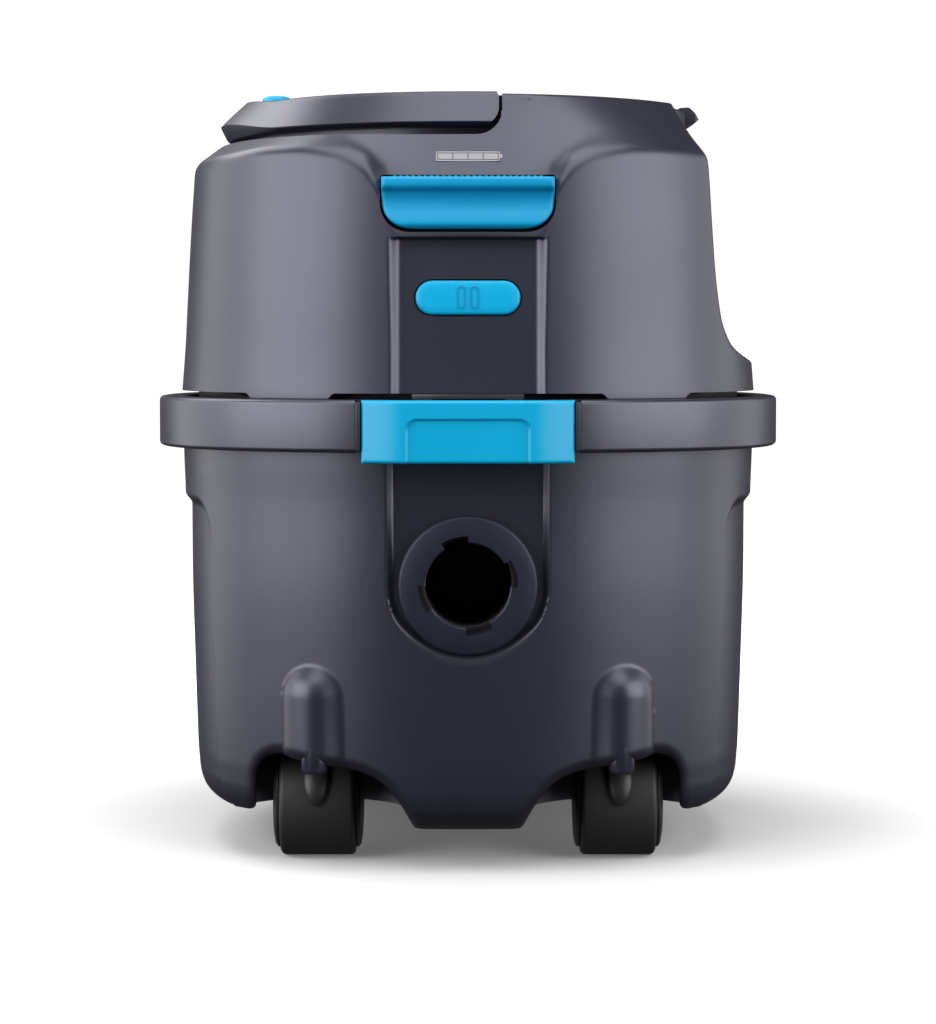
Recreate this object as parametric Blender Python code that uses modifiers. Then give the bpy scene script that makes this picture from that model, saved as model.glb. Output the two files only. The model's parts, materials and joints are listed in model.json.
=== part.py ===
"""Compact tub vacuum on four casters: an assembly of separate closed solids.

Shape functions work in millimetres and every mesh is scaled to metres as it is made.
X is to the right, -Y to the front and +Z up. The origin is on the floor at the centre.
"""

import math

import bmesh
import bpy
from mathutils import Matrix, Vector

MM = 0.001
OUTLINE_POWER = 2.5  # of the superellipse that the body has in plan
DEPTH_OVER_WIDTH = 8  # the half-depth is this much more than the half-width
WALL = 3

# Heights up the body
FLOOR_TOP = 23.5
TUB_TOP = 238
RING_LOW, RING_HIGH = 212, 238
HEAD_LOW = 241
RIM_HEIGHT, RIM_RADIUS = 391.5, 125
DECK_HEIGHT = 381
LEDGE_HEIGHT = 375.4

# (height, half-width) of the tub and of the head's upright wall
TUB_SIDE = [
    (20, 124), (22, 135), (24, 139.5), (27, 143.5), (31, 146.5), (36, 148.6), (52, 150),
    (98, 151.6), (141, 153.3), (185, 154.2), (207, 155.2), (TUB_TOP, 155.5),
]
HEAD_SIDE = [(HEAD_LOW, 156.6), (266, 154.9), (325, 151.6), (365, 149.2)]
# (height, x) of the flat that cuts the head's right side
HEAD_FLAT = [
    (HEAD_LOW, 155.5), (253, 155.5), (255.6, 153.8), (259.5, 144.2), (266, 135.5), (279, 130.3),
    (302, 127.8), (355, 124.1), (361.5, 122.5), (392, 110),
]
# (distance from the middle, height) of the crest where the wall turns into the slope
CREST = [(0, 321), (36.4, 321), (42.3, 329.7), (47.8, 344.6), (56.2, 354.6), (68.7, 359.5), (95, 363)]

# Front controls
INLET_HEIGHT = 146
TUB_RECESS = {"half_width": 39.8, "y": -155.5, "radius": 40}
PANEL_LEAN = math.radians(4.4)
PANEL_FOOT_Y = -157.5
BIB_LEAN = math.atan2(157 - RIM_RADIUS, RIM_HEIGHT - 321)
PEDAL_PIN = Vector((0, -143.5, 335))
LATCH_PIN = Vector((0, -168.5, 233))
HEAD_PIN = Vector((0, 172.5, 246.5))
LID_PIN = Vector((12.5, 0, 388))
HANDLE_PIN = Vector((30, 0, 386.5))
LID_EDGE, LID_CUT = 15.5, 17.2
LID_FOOT = 376.1
LID_BUTTON_X = -104.5

# Casters
CASTER_X, CASTER_Y, TRAIL = 77.6, 79, 12
WHEEL_RADIUS, WHEEL_HALF = 30, 19.4
POCKET_RADIUS, POCKET_TOP = 47.3, 67
STEM_TOP = 79

COLOURS = {  # linear base colour, roughness, metallic
    "body_plastic": ((0.055, 0.06, 0.085), 0.5, 0),
    "dark_plastic": ((0.02, 0.021, 0.028), 0.5, 0),
    "blue_plastic": ((0.0, 0.36, 0.66), 0.35, 0),
    "caster_black": ((0.02, 0.02, 0.02), 0.5, 0),
    "wheel_rubber": ((0.022, 0.021, 0.02), 0.7, 0),
    "seal_rubber": ((0.012, 0.012, 0.012), 0.8, 0),
    "steel": ((0.55, 0.56, 0.58), 0.3, 1),
    "motor_metal": ((0.4, 0.41, 0.43), 0.4, 1),
    "bag_paper": ((0.6, 0.52, 0.4), 0.9, 0),
    "filter_fabric": ((0.75, 0.76, 0.76), 0.95, 0),
    "board_green": ((0.01, 0.12, 0.04), 0.5, 0),
    "gauge_grey": ((0.4, 0.39, 0.41), 0.4, 0),
}
MATERIALS = {}


# ---------------------------------------------------------------- making objects

def clear_scene():
    for old in list(bpy.data.objects):
        bpy.data.objects.remove(old)


def make_materials():
    for name, (colour, roughness, metallic) in COLOURS.items():
        made = bpy.data.materials.new(name)
        made.use_nodes = True
        shader = made.node_tree.nodes["Principled BSDF"]
        shader.inputs["Base Color"].default_value = (*colour, 1)
        shader.inputs["Roughness"].default_value = roughness
        shader.inputs["Metallic"].default_value = metallic
        made.diffuse_color = (*colour, 1)
        MATERIALS[name] = made


def add(name, mesh, material=None, origin=(0, 0, 0)):
    """Turns a mesh in millimetres into an object whose origin is at the given place."""
    bmesh.ops.recalc_face_normals(mesh, faces=mesh.faces)
    bmesh.ops.translate(mesh, vec=-Vector(origin), verts=mesh.verts)
    bmesh.ops.scale(mesh, vec=(MM, MM, MM), verts=mesh.verts)
    data = bpy.data.meshes.new(name)
    mesh.to_mesh(data)
    mesh.free()
    made = bpy.data.objects.new(name, data)
    made.location = Vector(origin) * MM
    bpy.context.scene.collection.objects.link(made)
    if material:
        data.materials.append(MATERIALS[material])
    return made


def helper(name, mesh):
    """A cutter: it shapes other objects and isn't a piece itself."""
    made = add(name, mesh)
    made.hide_render = True
    made.display_type = "WIRE"
    return made


def combine(target, operation, others):
    for other in others:
        step = target.modifiers.new(f"{operation.lower()}_{other.name}", "BOOLEAN")
        step.operation = operation
        step.solver = "EXACT"
        step.object = other
    return target


def cut(target, *others):
    return combine(target, "DIFFERENCE", others)


def join(target, *others):
    return combine(target, "UNION", others)


def soften(target, width, segments=2, angle=40):
    bevel = target.modifiers.new("rounded_edges", "BEVEL")
    bevel.width = width * MM
    bevel.segments = segments
    bevel.limit_method = "ANGLE"
    bevel.angle_limit = math.radians(angle)
    return target


# ---------------------------------------------------------------- shapes, in millimetres

def box(low, high):
    mesh = bmesh.new()
    bmesh.ops.create_cube(mesh, size=1)
    low, high = Vector(low), Vector(high)
    bmesh.ops.scale(mesh, vec=high - low, verts=mesh.verts)
    bmesh.ops.translate(mesh, vec=(low + high) / 2, verts=mesh.verts)
    return mesh


def cylinder(centre, radius, length, axis="Z", segments=32, far_radius=None):
    mesh = bmesh.new()
    bmesh.ops.create_cone(
        mesh, cap_ends=True, segments=segments, radius1=radius,
        radius2=radius if far_radius is None else far_radius, depth=length,
    )
    turn = {"X": Matrix.Rotation(math.pi / 2, 4, "Y"), "Y": Matrix.Rotation(math.pi / 2, 4, "X")}
    if axis in turn:
        bmesh.ops.transform(mesh, matrix=turn[axis], verts=mesh.verts)
    bmesh.ops.translate(mesh, vec=centre, verts=mesh.verts)
    return mesh


def turned(profile, axis="Z", centre=(0, 0, 0), segments=48, start=0.0, sweep=math.tau):
    """Sweeps a closed (radius, height) profile round. Axis X or Y lays the height along that axis."""
    full = sweep == math.tau
    rings = []
    for k in range(segments if full else segments + 1):
        turn = Matrix.Rotation(start + sweep * k / segments, 3, "Z")
        rings.append([turn @ Vector((radius, 0, height)) for radius, height in profile])
    mesh = loft(rings, closed=full)
    bmesh.ops.remove_doubles(mesh, verts=mesh.verts, dist=1e-4)
    bmesh.ops.delete(mesh, geom=[e for e in mesh.edges if not e.link_faces], context="EDGES")
    lay = {"X": Matrix.Rotation(math.pi / 2, 3, "Y"), "Y": Matrix.Rotation(-math.pi / 2, 3, "X")}
    if axis in lay:
        bmesh.ops.rotate(mesh, verts=mesh.verts, matrix=lay[axis])
    bmesh.ops.translate(mesh, vec=centre, verts=mesh.verts)
    return mesh


def loft(rings, closed=False):
    """Joins rings of equally many points, and caps the first and last or joins them."""
    mesh = bmesh.new()
    rows = [[mesh.verts.new(point) for point in ring] for ring in rings]
    pairs = list(zip(rows, rows[1:]))
    if closed:
        pairs.append((rows[-1], rows[0]))
    for lower, upper in pairs:
        for k in range(len(lower)):
            after = (k + 1) % len(lower)
            mesh.faces.new((lower[k], lower[after], upper[after], upper[k]))
    if not closed:
        mesh.faces.new(rows[0][::-1])
        mesh.faces.new(rows[-1])
    return mesh


def prism(outline, low, high, axis="Z"):
    """Extrudes a flat outline. Its points are (x, y), (x, z) for axis Y or (y, z) for axis X."""
    place = {
        "Z": lambda u, v, w: (u, v, w), "Y": lambda u, v, w: (u, w, v), "X": lambda u, v, w: (w, u, v),
    }[axis]
    return loft([[place(u, v, w) for u, v in outline] for w in (low, high)])


def arc(centre, radius, first, last, steps=8):
    """Points on an arc in degrees, counter-clockwise when last is the larger."""
    angles = [math.radians(first + (last - first) * k / steps) for k in range(steps + 1)]
    return [(centre[0] + radius * math.cos(a), centre[1] + radius * math.sin(a)) for a in angles]


def rounded(low, high, radii, steps=5):
    """A rectangle's outline with radii at its lower left, lower right, upper right, upper left."""
    corners = [
        (low[0], low[1], 1, 1), (high[0], low[1], -1, 1),
        (high[0], high[1], -1, -1), (low[0], high[1], 1, -1),
    ]
    points = []
    for k, (x, y, right, up) in enumerate(corners):
        start = 180 + 90 * k
        radius = max(radii[k], 0.01)
        count = steps if radii[k] else 1
        points += arc((x + right * radius, y + up * radius), radius, start, start + 90, count)
    return points


def between(table, value):
    """Straight-line reading of a table of (place, value)."""
    for (a, b), (c, d) in zip(table, table[1:]):
        if value <= c:
            return b + (d - b) * max(0, value - a) / (c - a)
    return table[-1][1]


def outline(half_width, half_depth, height, power=OUTLINE_POWER, count=60):
    points = []
    for k in range(count):
        angle = math.tau * k / count
        c, s = math.cos(angle), math.sin(angle)
        x = half_width * math.copysign(abs(c) ** (2 / power), c)
        y = half_depth * math.copysign(abs(s) ** (2 / power), s)
        points.append(Vector((x, y, height)))
    return points


def body_ring(half_width, height, inset=0):
    return outline(half_width - inset, half_width + DEPTH_OVER_WIDTH - inset, height)


def mirrored(mesh, x=False, y=False):
    scale = (-1 if x else 1, -1 if y else 1, 1)
    bmesh.ops.scale(mesh, vec=scale, verts=mesh.verts)
    if x != y:
        bmesh.ops.reverse_faces(mesh, faces=mesh.faces)
    return mesh


def leaned(mesh, pivot, angle):
    """Tips a mesh back about a line along X through the pivot."""
    bmesh.ops.rotate(mesh, verts=mesh.verts, cent=pivot, matrix=Matrix.Rotation(-angle, 3, "X"))
    return mesh


# ---------------------------------------------------------------- tub

CORNERS = [("front_left", True, False), ("front_right", False, False),
           ("rear_left", True, True), ("rear_right", False, True)]


def arch_outline(grow=0):
    """The caster arch on the right, as (x, z) from its outer foot over the top to the inner foot."""
    edge = [
        (112, 0), (112, 50), (105.6, 59.5), (90, 61), (59.5, 56), (48, 53.5), (39, 48), (31, 38), (23.4, 24),
        (23.4, 0),
    ]
    middle = 68
    return [(x + math.copysign(grow, x - middle), z + grow if z else -10) for x, z in edge]


def tub_cavity():
    inner = [body_ring(a, max(h, FLOOR_TOP), WALL) for h, a in TUB_SIDE if h > FLOOR_TOP]
    cavity = helper("tub_cavity", loft([*inner, body_ring(155.5, TUB_TOP + 10, WALL)]))
    blocks = [helper("recess_back", box((-44, -200, 100), (44, -152.3, 260)))]
    for name, left, rear in CORNERS:
        height = 2 * (POCKET_TOP + WALL) - 50
        roof = cylinder((CASTER_X, -CASTER_Y, 25), POCKET_RADIUS + WALL, height, segments=36)
        boss = cylinder((CASTER_X, -CASTER_Y, 42), 9, 84, segments=16)
        tunnel = prism(arch_outline(WALL), -200, -CASTER_Y - 9, "Y")
        for part, mesh in (("roof", roof), ("boss", boss), ("tunnel", tunnel)):
            blocks.append(helper(f"{part}_block_{name}", mirrored(mesh, left, rear)))
    return cut(cavity, *blocks)


def side_panel_cutter(name, left):
    """The shallow panel sunk in a side wall."""
    panel = prism(rounded((-78, 10), (78, 185), (0, 0, 14, 14)), 100, 200, "X")
    slab = helper(f"side_panel_{name}", mirrored(panel, left))
    body = helper(f"side_panel_core_{name}", loft([body_ring(a, h, 2.5) for h, a in [(0, 124), *TUB_SIDE]]))
    return cut(slab, body)


def bulge(name, left, rear):
    """The domed swelling over a caster."""
    radius, top, foot = 17.4, 106, 62.3
    profile = [(0, foot), (radius, foot), *arc((0, top - radius), radius, 0, 90, 5)[:-1], (0, top)]
    mesh = turned(profile, centre=(76, -137.5, 0), segments=24)
    return helper(f"bulge_{name}", mirrored(mesh, left, rear))


def tub_shell():
    shell = add("tub_shell", loft([body_ring(a, h) for h, a in TUB_SIDE]), "body_plastic")
    join(shell, *[bulge(*corner) for corner in CORNERS])
    cutters = [tub_cavity(), side_panel_cutter("left", True), side_panel_cutter("right", False)]
    half, radius = TUB_RECESS["half_width"], TUB_RECESS["radius"]
    front = [(half, TUB_TOP + 5), (-half, TUB_TOP + 5), *arc((0, INLET_HEIGHT), radius, 180, 360, 20)]
    cutters.append(helper("front_recess", prism(front, -200, TUB_RECESS["y"], "Y")))
    cutters.append(helper("inlet_hole", cylinder((0, -155, INLET_HEIGHT), 28, 30, "Y")))
    bosses = []
    for name, left, rear in CORNERS:
        middle = (CASTER_X, -CASTER_Y, POCKET_TOP / 2 - 10)
        pocket = cylinder(middle, POCKET_RADIUS, POCKET_TOP + 20, segments=36)
        tunnel = prism(arch_outline(), -200, -CASTER_Y - 12, "Y")
        stem = cylinder((CASTER_X, -CASTER_Y, 70), 5.4, 22, segments=16)
        for part, mesh in (("pocket", pocket), ("arch", tunnel), ("stem_hole", stem)):
            cutters.append(helper(f"{part}_{name}", mirrored(mesh, left, rear)))
        bosses.append(helper(f"boss_{name}", mirrored(cylinder((77, -148.4, 57.5), 6.5, 13), left, rear)))
    cut(shell, *cutters)
    join(shell, *bosses)


def ring_profile(height, outset):
    return outline(156.3 + outset, 164.3 + outset, height)


def bumper_ring():
    round_by, wide = 4, 13.7
    section = [
        (0, RING_LOW), (wide - round_by, RING_LOW), (wide - 1.2, RING_LOW + 1.2), (wide, RING_LOW + round_by),
        (wide, RING_HIGH - round_by), (wide - 1.2, RING_HIGH - 1.2), (wide - round_by, RING_HIGH),
        (0, RING_HIGH),
    ]
    ring = add("bumper_ring", loft([ring_profile(h, o) for o, h in section], closed=True), "body_plastic")
    cut(ring, helper("ring_mouth", box((-55.5, -200, 200), (55.5, -100, 250))))
    for side, left in (("left", True), ("right", False)):
        mesh = mirrored(box((52.9, -173.5, RING_LOW + 1), (55.1, -164.8, RING_HIGH - 1)), left)
        soften(add(f"ring_end_{side}", mesh, "dark_plastic"), 0.5)


def inlet():
    face, radius, bore = -162.5, 34.6, 21
    wide_bore = 24.7
    profile = [
        (bore, 0), (bore, 3), (wide_bore, 3), (wide_bore, 21), (27.2, 21), (27.2, 6.6), (radius, 6.6),
        (radius, 1.2), (radius - 1.2, 0),
    ]
    collar = add("inlet_collar", turned(profile, "Y", (0, face, INLET_HEIGHT), 40), "body_plastic")
    notches = []
    for k, middle in enumerate((15, 106, 196, 284)):
        far = arc((0, INLET_HEIGHT), wide_bore - 0.01, middle - 16, middle + 16, 6)
        near = arc((0, INLET_HEIGHT), 15, middle + 16, middle - 16, 4)
        wedge = [*far, *near]
        notches.append(helper(f"collar_notch_{k}", prism(wedge, face - 5, face + 4, "Y")))
    cut(collar, *notches)
    pipe = [(22, 0), (25, 0), (25, 41), (22, 41)]
    add("inlet_pipe", turned(pipe, "Y", (0, -141, INLET_HEIGHT), 40), "dark_plastic")
    plate = add("bag_plate", box((-50, -98.5, 96), (50, -96, 196)), "bag_paper")
    cut(plate, helper("bag_plate_hole", cylinder((0, -97, INLET_HEIGHT), 25.6, 10, "Y", 40)))


def dust_bag():
    """A soft, part-filled paper bag, kept plain."""
    low, high, radius = Vector((-112, -93, 86)), Vector((112, 100, 182)), 26
    middle, half = (low + high) / 2, (high - low) / 2
    lower_half = [(low.z, radius), (low.z + 8, 8), (low.z + radius, 0)]
    upper_half = [(high.z - radius, 0), (high.z - 8, 8), (high.z, radius)]
    rings = []
    for height, inset in lower_half + upper_half:
        ring = outline(half.x - inset, half.y - inset, height, 5, 40)
        rings.append([point + Vector((middle.x, middle.y, 0)) for point in ring])
    add("dust_bag", loft(rings), "bag_paper")


def latch_catch():
    soften(add("latch_catch", box((-14, -161.5, 215), (14, -155.8, 222)), "dark_plastic"), 0.8)


def hinge_parts():
    y, z = HEAD_PIN.y, HEAD_PIN.z
    cover = [(164.8, 238.4), (178.4, 238.4), (178.4, 214), (181, 214), (181, 240.6), (164.8, 240.6)]
    bracket = add("hinge_bracket", prism(cover[::-1], -42, 42, "X"), "dark_plastic")
    knuckle = [(y + 5, 239.5), *arc((y, z), 5, 0, 180, 10), (y - 5, 239.5)]
    join(bracket, *[helper(f"knuckle_{k}", prism(knuckle, x, x + 12, "X")) for k, x in enumerate((-32, 20))])
    cut(bracket, helper("bracket_bore", cylinder(HEAD_PIN, 2.3, 80, "X", 20)))
    add("hinge_pin", cylinder(HEAD_PIN, 2, 66, "X", 20), "steel")
    for side, x in (("left", -37), ("right", 37)):
        soften(add(f"bracket_screw_{side}", cylinder((x, 174, 241.9), 3.2, 2, segments=12), "steel"), 0.5)
    arm = [
        (165.4, 243.2), (168, 243.2), (169.6, 242.4), *arc((y, z), 5, -125, 160, 14),
        (167.8, 252), (167.8, 276), (165.4, 276),
    ]
    leaf = add("hinge_arm", prism(arm, -18, 18, "X"), "dark_plastic")
    cut(leaf, helper("arm_bore", cylinder(HEAD_PIN, 2.3, 60, "X", 20)))
    for side, x in (("left", -10), ("right", 10)):
        soften(add(f"arm_screw_{side}", cylinder((x, 169.2, 266), 3.2, 2, "Y", 12), "steel"), 0.5)


# ---------------------------------------------------------------- head

def crest_height(point):
    return between(CREST, abs(point.x)) if point.y < 0 else 363


def slope_end(point):
    """Radius and height where the slope meets the rim: lower under the lid's left part."""
    left = max(0, -point.x) / 150
    return RIM_RADIUS, RIM_HEIGHT - 12.5 * left ** 2


def clip_right(point, inset):
    point.x = min(point.x, between(HEAD_FLAT, point.z) - inset)
    return point


def head_rings(inset=0, rim=True):
    """Rings up the wall, over the crest and along the slope to the rim."""
    rings = [[] for _ in range(10)]
    for base in outline(156.6, 164.6, 0, count=72):
        crest = crest_height(base) - inset / 2
        heights = [HEAD_LOW, 253, 259.5, 266, 279, 302, crest - 3]
        heights = [min(h, crest - 3 - 0.5 * (6 - k)) for k, h in enumerate(heights)]
        for k, height in enumerate(heights):
            half = between(HEAD_SIDE, height)
            scale_x, scale_y = (half - inset) / 156.6, (half + DEPTH_OVER_WIDTH - inset) / 164.6
            rings[k].append(Vector((base.x * scale_x, base.y * scale_y, height)))
        radius, top = slope_end(base)
        angle = math.atan2(base.y, base.x)
        end = Vector(((radius - inset) * math.cos(angle), (radius - inset) * math.sin(angle), top - inset))
        shoulder = rings[6][-1] + Vector((0, 0, 3))
        shoulder = shoulder.lerp(end, 0.03)
        rings[7].append(shoulder.lerp(end, 0.04))
        rings[8].append(shoulder.lerp(end, 0.5))
        rings[9].append(end)
    for ring in rings:
        for point in ring:
            clip_right(point, inset)
    flat = RIM_HEIGHT - inset
    return [*rings, [Vector((p.x * 0.7, p.y * 0.7, flat)) for p in rings[-1]]]


def head_cavity():
    rings = head_rings(WALL)
    ceiling = LEDGE_HEIGHT - WALL - 0.2
    low = [Vector((p.x, p.y, HEAD_LOW - 10)) for p in rings[0]]
    cavity = helper("head_cavity", loft([low, *rings]))
    blocks = [
        helper("panel_back", box((-45, -200, 230), (45, -148.3, 321))),
        helper("pedal_back", box((-47.5, -200, 316), (47.5, -134.5, 354))),
        helper("deck_back", box((-200, -200, ceiling), (200, 200, 420))),
    ]
    return cut(cavity, *blocks)


def panel_frame(mesh):
    """Leans a shape made against the upright plane y = PANEL_FOOT_Y to the front panel's slant."""
    return leaned(mesh, (0, PANEL_FOOT_Y, HEAD_LOW), PANEL_LEAN)


def front_panel_cutter():
    """Sinks a flat panel between two 45 degree sides."""
    inner, depth, low, high = 34.7, 14, 225, 318
    rings = []
    for half, y in ((inner, PANEL_FOOT_Y), (inner + depth, PANEL_FOOT_Y - depth)):
        rings.append([(-half, y, low), (half, y, low), (half, y, high), (-half, y, high)])
    return helper("front_panel", panel_frame(loft(rings)))


def pill(half_length, half_height, centre_z):
    straight = half_length - half_height
    right = arc((straight, centre_z), half_height, -90, 90, 10)
    left = arc((-straight, centre_z), half_height, 90, 270, 10)
    return [*right, *left]


def top_cutters():
    """What the top loses: the lid's seat, the battery opening, the handle's well and its notch."""
    seat_low = rounded((-250, LEDGE_HEIGHT), (LID_CUT, 430), (0, 10, 0, 0))
    opening = [*arc((0, 0), 114, 81.3, 278.7, 40), (LID_CUT, -112), (LID_CUT, 112)]
    notch = [(110, DECK_HEIGHT), (150, DECK_HEIGHT), (150, 400), (110, 400)]
    well = [(0, DECK_HEIGHT), (121, DECK_HEIGHT), (121, 400), (0, 400)]
    deck = helper("deck_well", turned(well, segments=72))
    cut(deck, helper("well_left", box((-200, -200, 370), (LID_CUT - 0.2, 200, 410))))
    return [
        helper("lid_seat", prism(seat_low, -200, 200, "Y")),
        helper("battery_opening", prism(opening, 350, 400, "Z")),
        deck,
        helper("handle_notch", turned(notch, segments=24, start=math.radians(-4), sweep=math.radians(76))),
    ]


def head_shell():
    shell = add("head_shell", loft(head_rings()), "body_plastic")
    cutters = [head_cavity(), front_panel_cutter(), *top_cutters()]
    cutters.append(helper("button_hole", panel_frame(prism(pill(26.5, 9, 288.5), -170, -140, "Y"))))
    pocket = rounded((-43.6, 320.6), (43.6, 349.4), (14, 14, 2, 2))
    cutters.append(helper("pedal_pocket", prism(pocket, -200, -138, "Y")))
    cutters.append(helper("pedal_pin_hole", cylinder(PEDAL_PIN, 1.9, 94, "X", 16)))
    gauge = leaned(box((-17.4, -145, -3.2), (17.4, 1, 3.2)), (0, 0, 0), BIB_LEAN)
    bmesh.ops.translate(gauge, vec=gauge_centre() + Vector((0, 0.4, 0)), verts=gauge.verts)
    cutters.append(helper("gauge_pocket", gauge))
    exhaust_outline = rounded((-48, 285), (48, 335), (5, 5, 5, 5))
    cutters.append(helper("exhaust_opening", prism(exhaust_outline, 112, 160, "X")))
    cutters.append(helper("lid_pin_hole", cylinder(LID_PIN, 2.2, 239, "Y", 16)))
    cutters.append(helper("handle_pin_hole", cylinder(HANDLE_PIN, 2.3, 246, "Y", 16)))
    cut(shell, *cutters)


def gauge_centre():
    height = 358.8
    return Vector((0, -RIM_RADIUS - (RIM_HEIGHT - height) * math.tan(BIB_LEAN), height))


def battery_gauge():
    plate = leaned(box((-16.8, -0.6, -2.6), (16.8, 0.5, 2.6)), (0, 0, 0), BIB_LEAN)
    bmesh.ops.translate(plate, vec=gauge_centre(), verts=plate.verts)
    add("battery_gauge", plate, "gauge_grey")


def motor_deck():
    deck = add("motor_deck", loft([outline(151.5, 160, h) for h in (HEAD_LOW + 0.3, 245.3)]), "dark_plastic")
    skirt = [
        outline(146, 149, 228), outline(146, 149, 242), outline(143, 146, 242), outline(143, 146, 228),
    ]
    join(deck, helper("deck_skirt", loft(skirt, closed=True)))
    cut(
        deck,
        helper("deck_notch", box((-46.5, -200, 235), (46.5, -147.8, 250))),
        helper("air_hole", cylinder((0, 0, 243), 38, 20, segments=48)),
    )
    lip = [
        (146.4, 149.4, 230), (149.6, 151.2, 230), (150.6, 151.8, 233), (149.6, 151.2, 236), (146.4, 149.4, 236),
    ]
    seal = [outline(half_width, half_depth, height) for half_width, half_depth, height in lip]
    add("rim_seal", loft(seal, closed=True), "seal_rubber")


def motor_filter():
    cup = [(0, 205), (54, 205), (60, 211), (60, 240.9), (57, 240.9), (57, 212), (53, 208), (0, 208)]
    add("motor_filter", turned(cup, segments=28), "filter_fabric")
    band = [(60.5, 233), (64, 233), (64, 240.9), (60.5, 240.9)]
    add("filter_ring", turned(band, segments=28), "dark_plastic")


def motor():
    case = [(55, 245.8), (58, 245.8), (58, 298), (54, 302), (0, 302), (0, 299), (53, 299), (55, 297)]
    housing = add("motor_case", turned(case, segments=32), "dark_plastic")
    cut(housing, helper("case_port", box((48, -15, 262), (62, 15, 292))))
    stator = [(6.5, 266.5), (36, 266.5), (36, 295), (6.5, 295)]
    add("stator", turned(stator, segments=24), "motor_metal")
    add("motor_shaft", cylinder((0, 0, 273.5), 4, 48, segments=24), "steel")
    blades = []
    for k in range(9):
        root, tip = 2 * math.pi * k / 9, 2 * math.pi * k / 9 + 0.32
        for angle, radius in ((root - 0.24, 15), (tip - 0.035, 48), (tip + 0.035, 48), (root + 0.24, 15)):
            blades.append((radius * math.cos(angle), radius * math.sin(angle)))
    fan = add("impeller", prism(blades, 252.5, 262, "Z"), "motor_metal")
    join(fan, helper("fan_plate", cylinder((0, 0, 251.5), 49, 3, segments=48)))
    cut(fan, helper("fan_bore", cylinder((0, 0, 256), 4.3, 30, segments=24)))


def exhaust():
    duct = add("exhaust_duct", box((58.6, -18, 259), (100, 18, 295)), "dark_plastic")
    cut(duct, helper("duct_bore", box((50, -15.5, 261.5), (120, 15.5, 292.5))))
    add("exhaust_filter", box((102, -54, 262), (119, 54, 338)), "filter_fabric")
    plate = prism(rounded((-47.5, 285.5), (47.5, 334.5), (4.5,) * 4), 122.8, 125.2, "X")
    grille = add("exhaust_grille", plate, "dark_plastic")
    for k, z in enumerate(range(290, 330, 5)):
        cut(grille, helper(f"grille_slot_{k}", box((112, -42, z), (132, 42, z + 2.6))))


def battery():
    tray = add("battery_tray", box((-94, -64, 306), (6, 64, 371)), "dark_plastic")
    cut(tray, helper("tray_inside", box((-91.5, -61.5, 308.5), (3.5, 61.5, 380))))
    soften(add("battery_pack", box((-90, -60, 309.5), (2, 60, 378)), "dark_plastic"), 3)


def electronics():
    add("circuit_board", box((-40, -134, 262), (40, -132.4, 312)), "board_green")
    soften(add("power_switch", box((-6, -142.6, 283), (6, -134.3, 293)), "caster_black"), 0.6)


# ---------------------------------------------------------------- moving pieces on the head

def lid_lift(x):
    """How far the lid rises at a place: level up to x = -85, and 5.4 mm up from x = -125."""
    along = min(1, max(0, (-x - 85) / 40))
    return 5.4 * along * along * (3 - 2 * along)


def battery_lid():
    """A D-shaped lid with an overhanging lip, which lifts at its left end."""
    profile = [
        (0, 388), (110, 388), (110, LID_FOOT), (129.6, LID_FOOT), (134.5, LID_FOOT + 2.1), (127, 384.6),
        (121.5, 391), (118, 392.4), (114.5, 392), (111, 391), (0, 391),
    ]
    mesh = turned(profile, segments=48)
    for vert in mesh.verts:
        above_foot = min(1, (vert.co.z - LID_FOOT) / 2)
        vert.co.z += lid_lift(vert.co.x) * above_foot
    lid = add("battery_lid", mesh, "body_plastic", LID_PIN)
    side_view = [
        (-250, LID_FOOT - 0.05), *arc((LID_EDGE - 10, LID_FOOT + 9.95), 10, 270, 360, 6), (LID_EDGE, 389.6),
        (LID_EDGE - 1.6, 391.3), (LID_EDGE - 1.6, 430), (-250, 430),
    ]
    combine(lid, "INTERSECT", [helper("lid_edge", prism(side_view, -200, 200, "Y"))])
    barrel = [(LID_PIN.x - 3.2, 389), *arc((LID_PIN.x, LID_PIN.z), 3, 180, 360, 8), (LID_EDGE, 389)]
    join(lid, helper("lid_barrel", prism(barrel, -111, 111, "Y")))
    cut(
        lid,
        helper("lid_bore", cylinder(LID_PIN + Vector((0, 16, 0)), 1.9, 270, "Y", 16)),
        helper("lid_button_bore", cylinder((LID_BUTTON_X, 0, 390), 8, 60)),
    )
    add("lid_hinge_pin", cylinder(LID_PIN, 1.6, 237, "Y", 16), "steel")
    button = cylinder((LID_BUTTON_X, 0, 394.4), 7.6, 12)
    soften(add("lid_release_button", button, "blue_plastic", (LID_BUTTON_X, 0, 392)), 1.2)


def carry_handle():
    end = math.degrees(math.acos(HANDLE_PIN.x / 111))
    bar = [(104.5, 382.4), (118, 382.4), (118, 389.4), (116.6, 390.8), (106, 390.8), (104.5, 389.4)]
    handle = turned(bar, segments=26, start=math.radians(-end - 2), sweep=math.radians(2 * end + 4))
    handle = add("carry_handle", handle, "body_plastic", HANDLE_PIN)
    grip = [(112, 383), (119.5, 383), (125.8, 387.5), (120.6, 393.6), (115, 393.6), (112, 390.2)]
    grip = turned(grip, segments=14, start=math.radians(-3), sweep=math.radians(73))
    join(handle, helper("grip_lip", grip))
    cut(
        handle,
        helper("handle_ends", box((-50, -200, 370), (HANDLE_PIN.x - 2.8, 200, 400))),
        helper("handle_bore", cylinder(HANDLE_PIN, 2.3, 260, "Y", 16)),
    )
    for side, sign in (("front", -1), ("rear", 1)):
        pin = cylinder((HANDLE_PIN.x, sign * 112.5, HANDLE_PIN.z), 2, 20, "Y", 16)
        add(f"handle_pin_{side}", pin, "steel")


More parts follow.
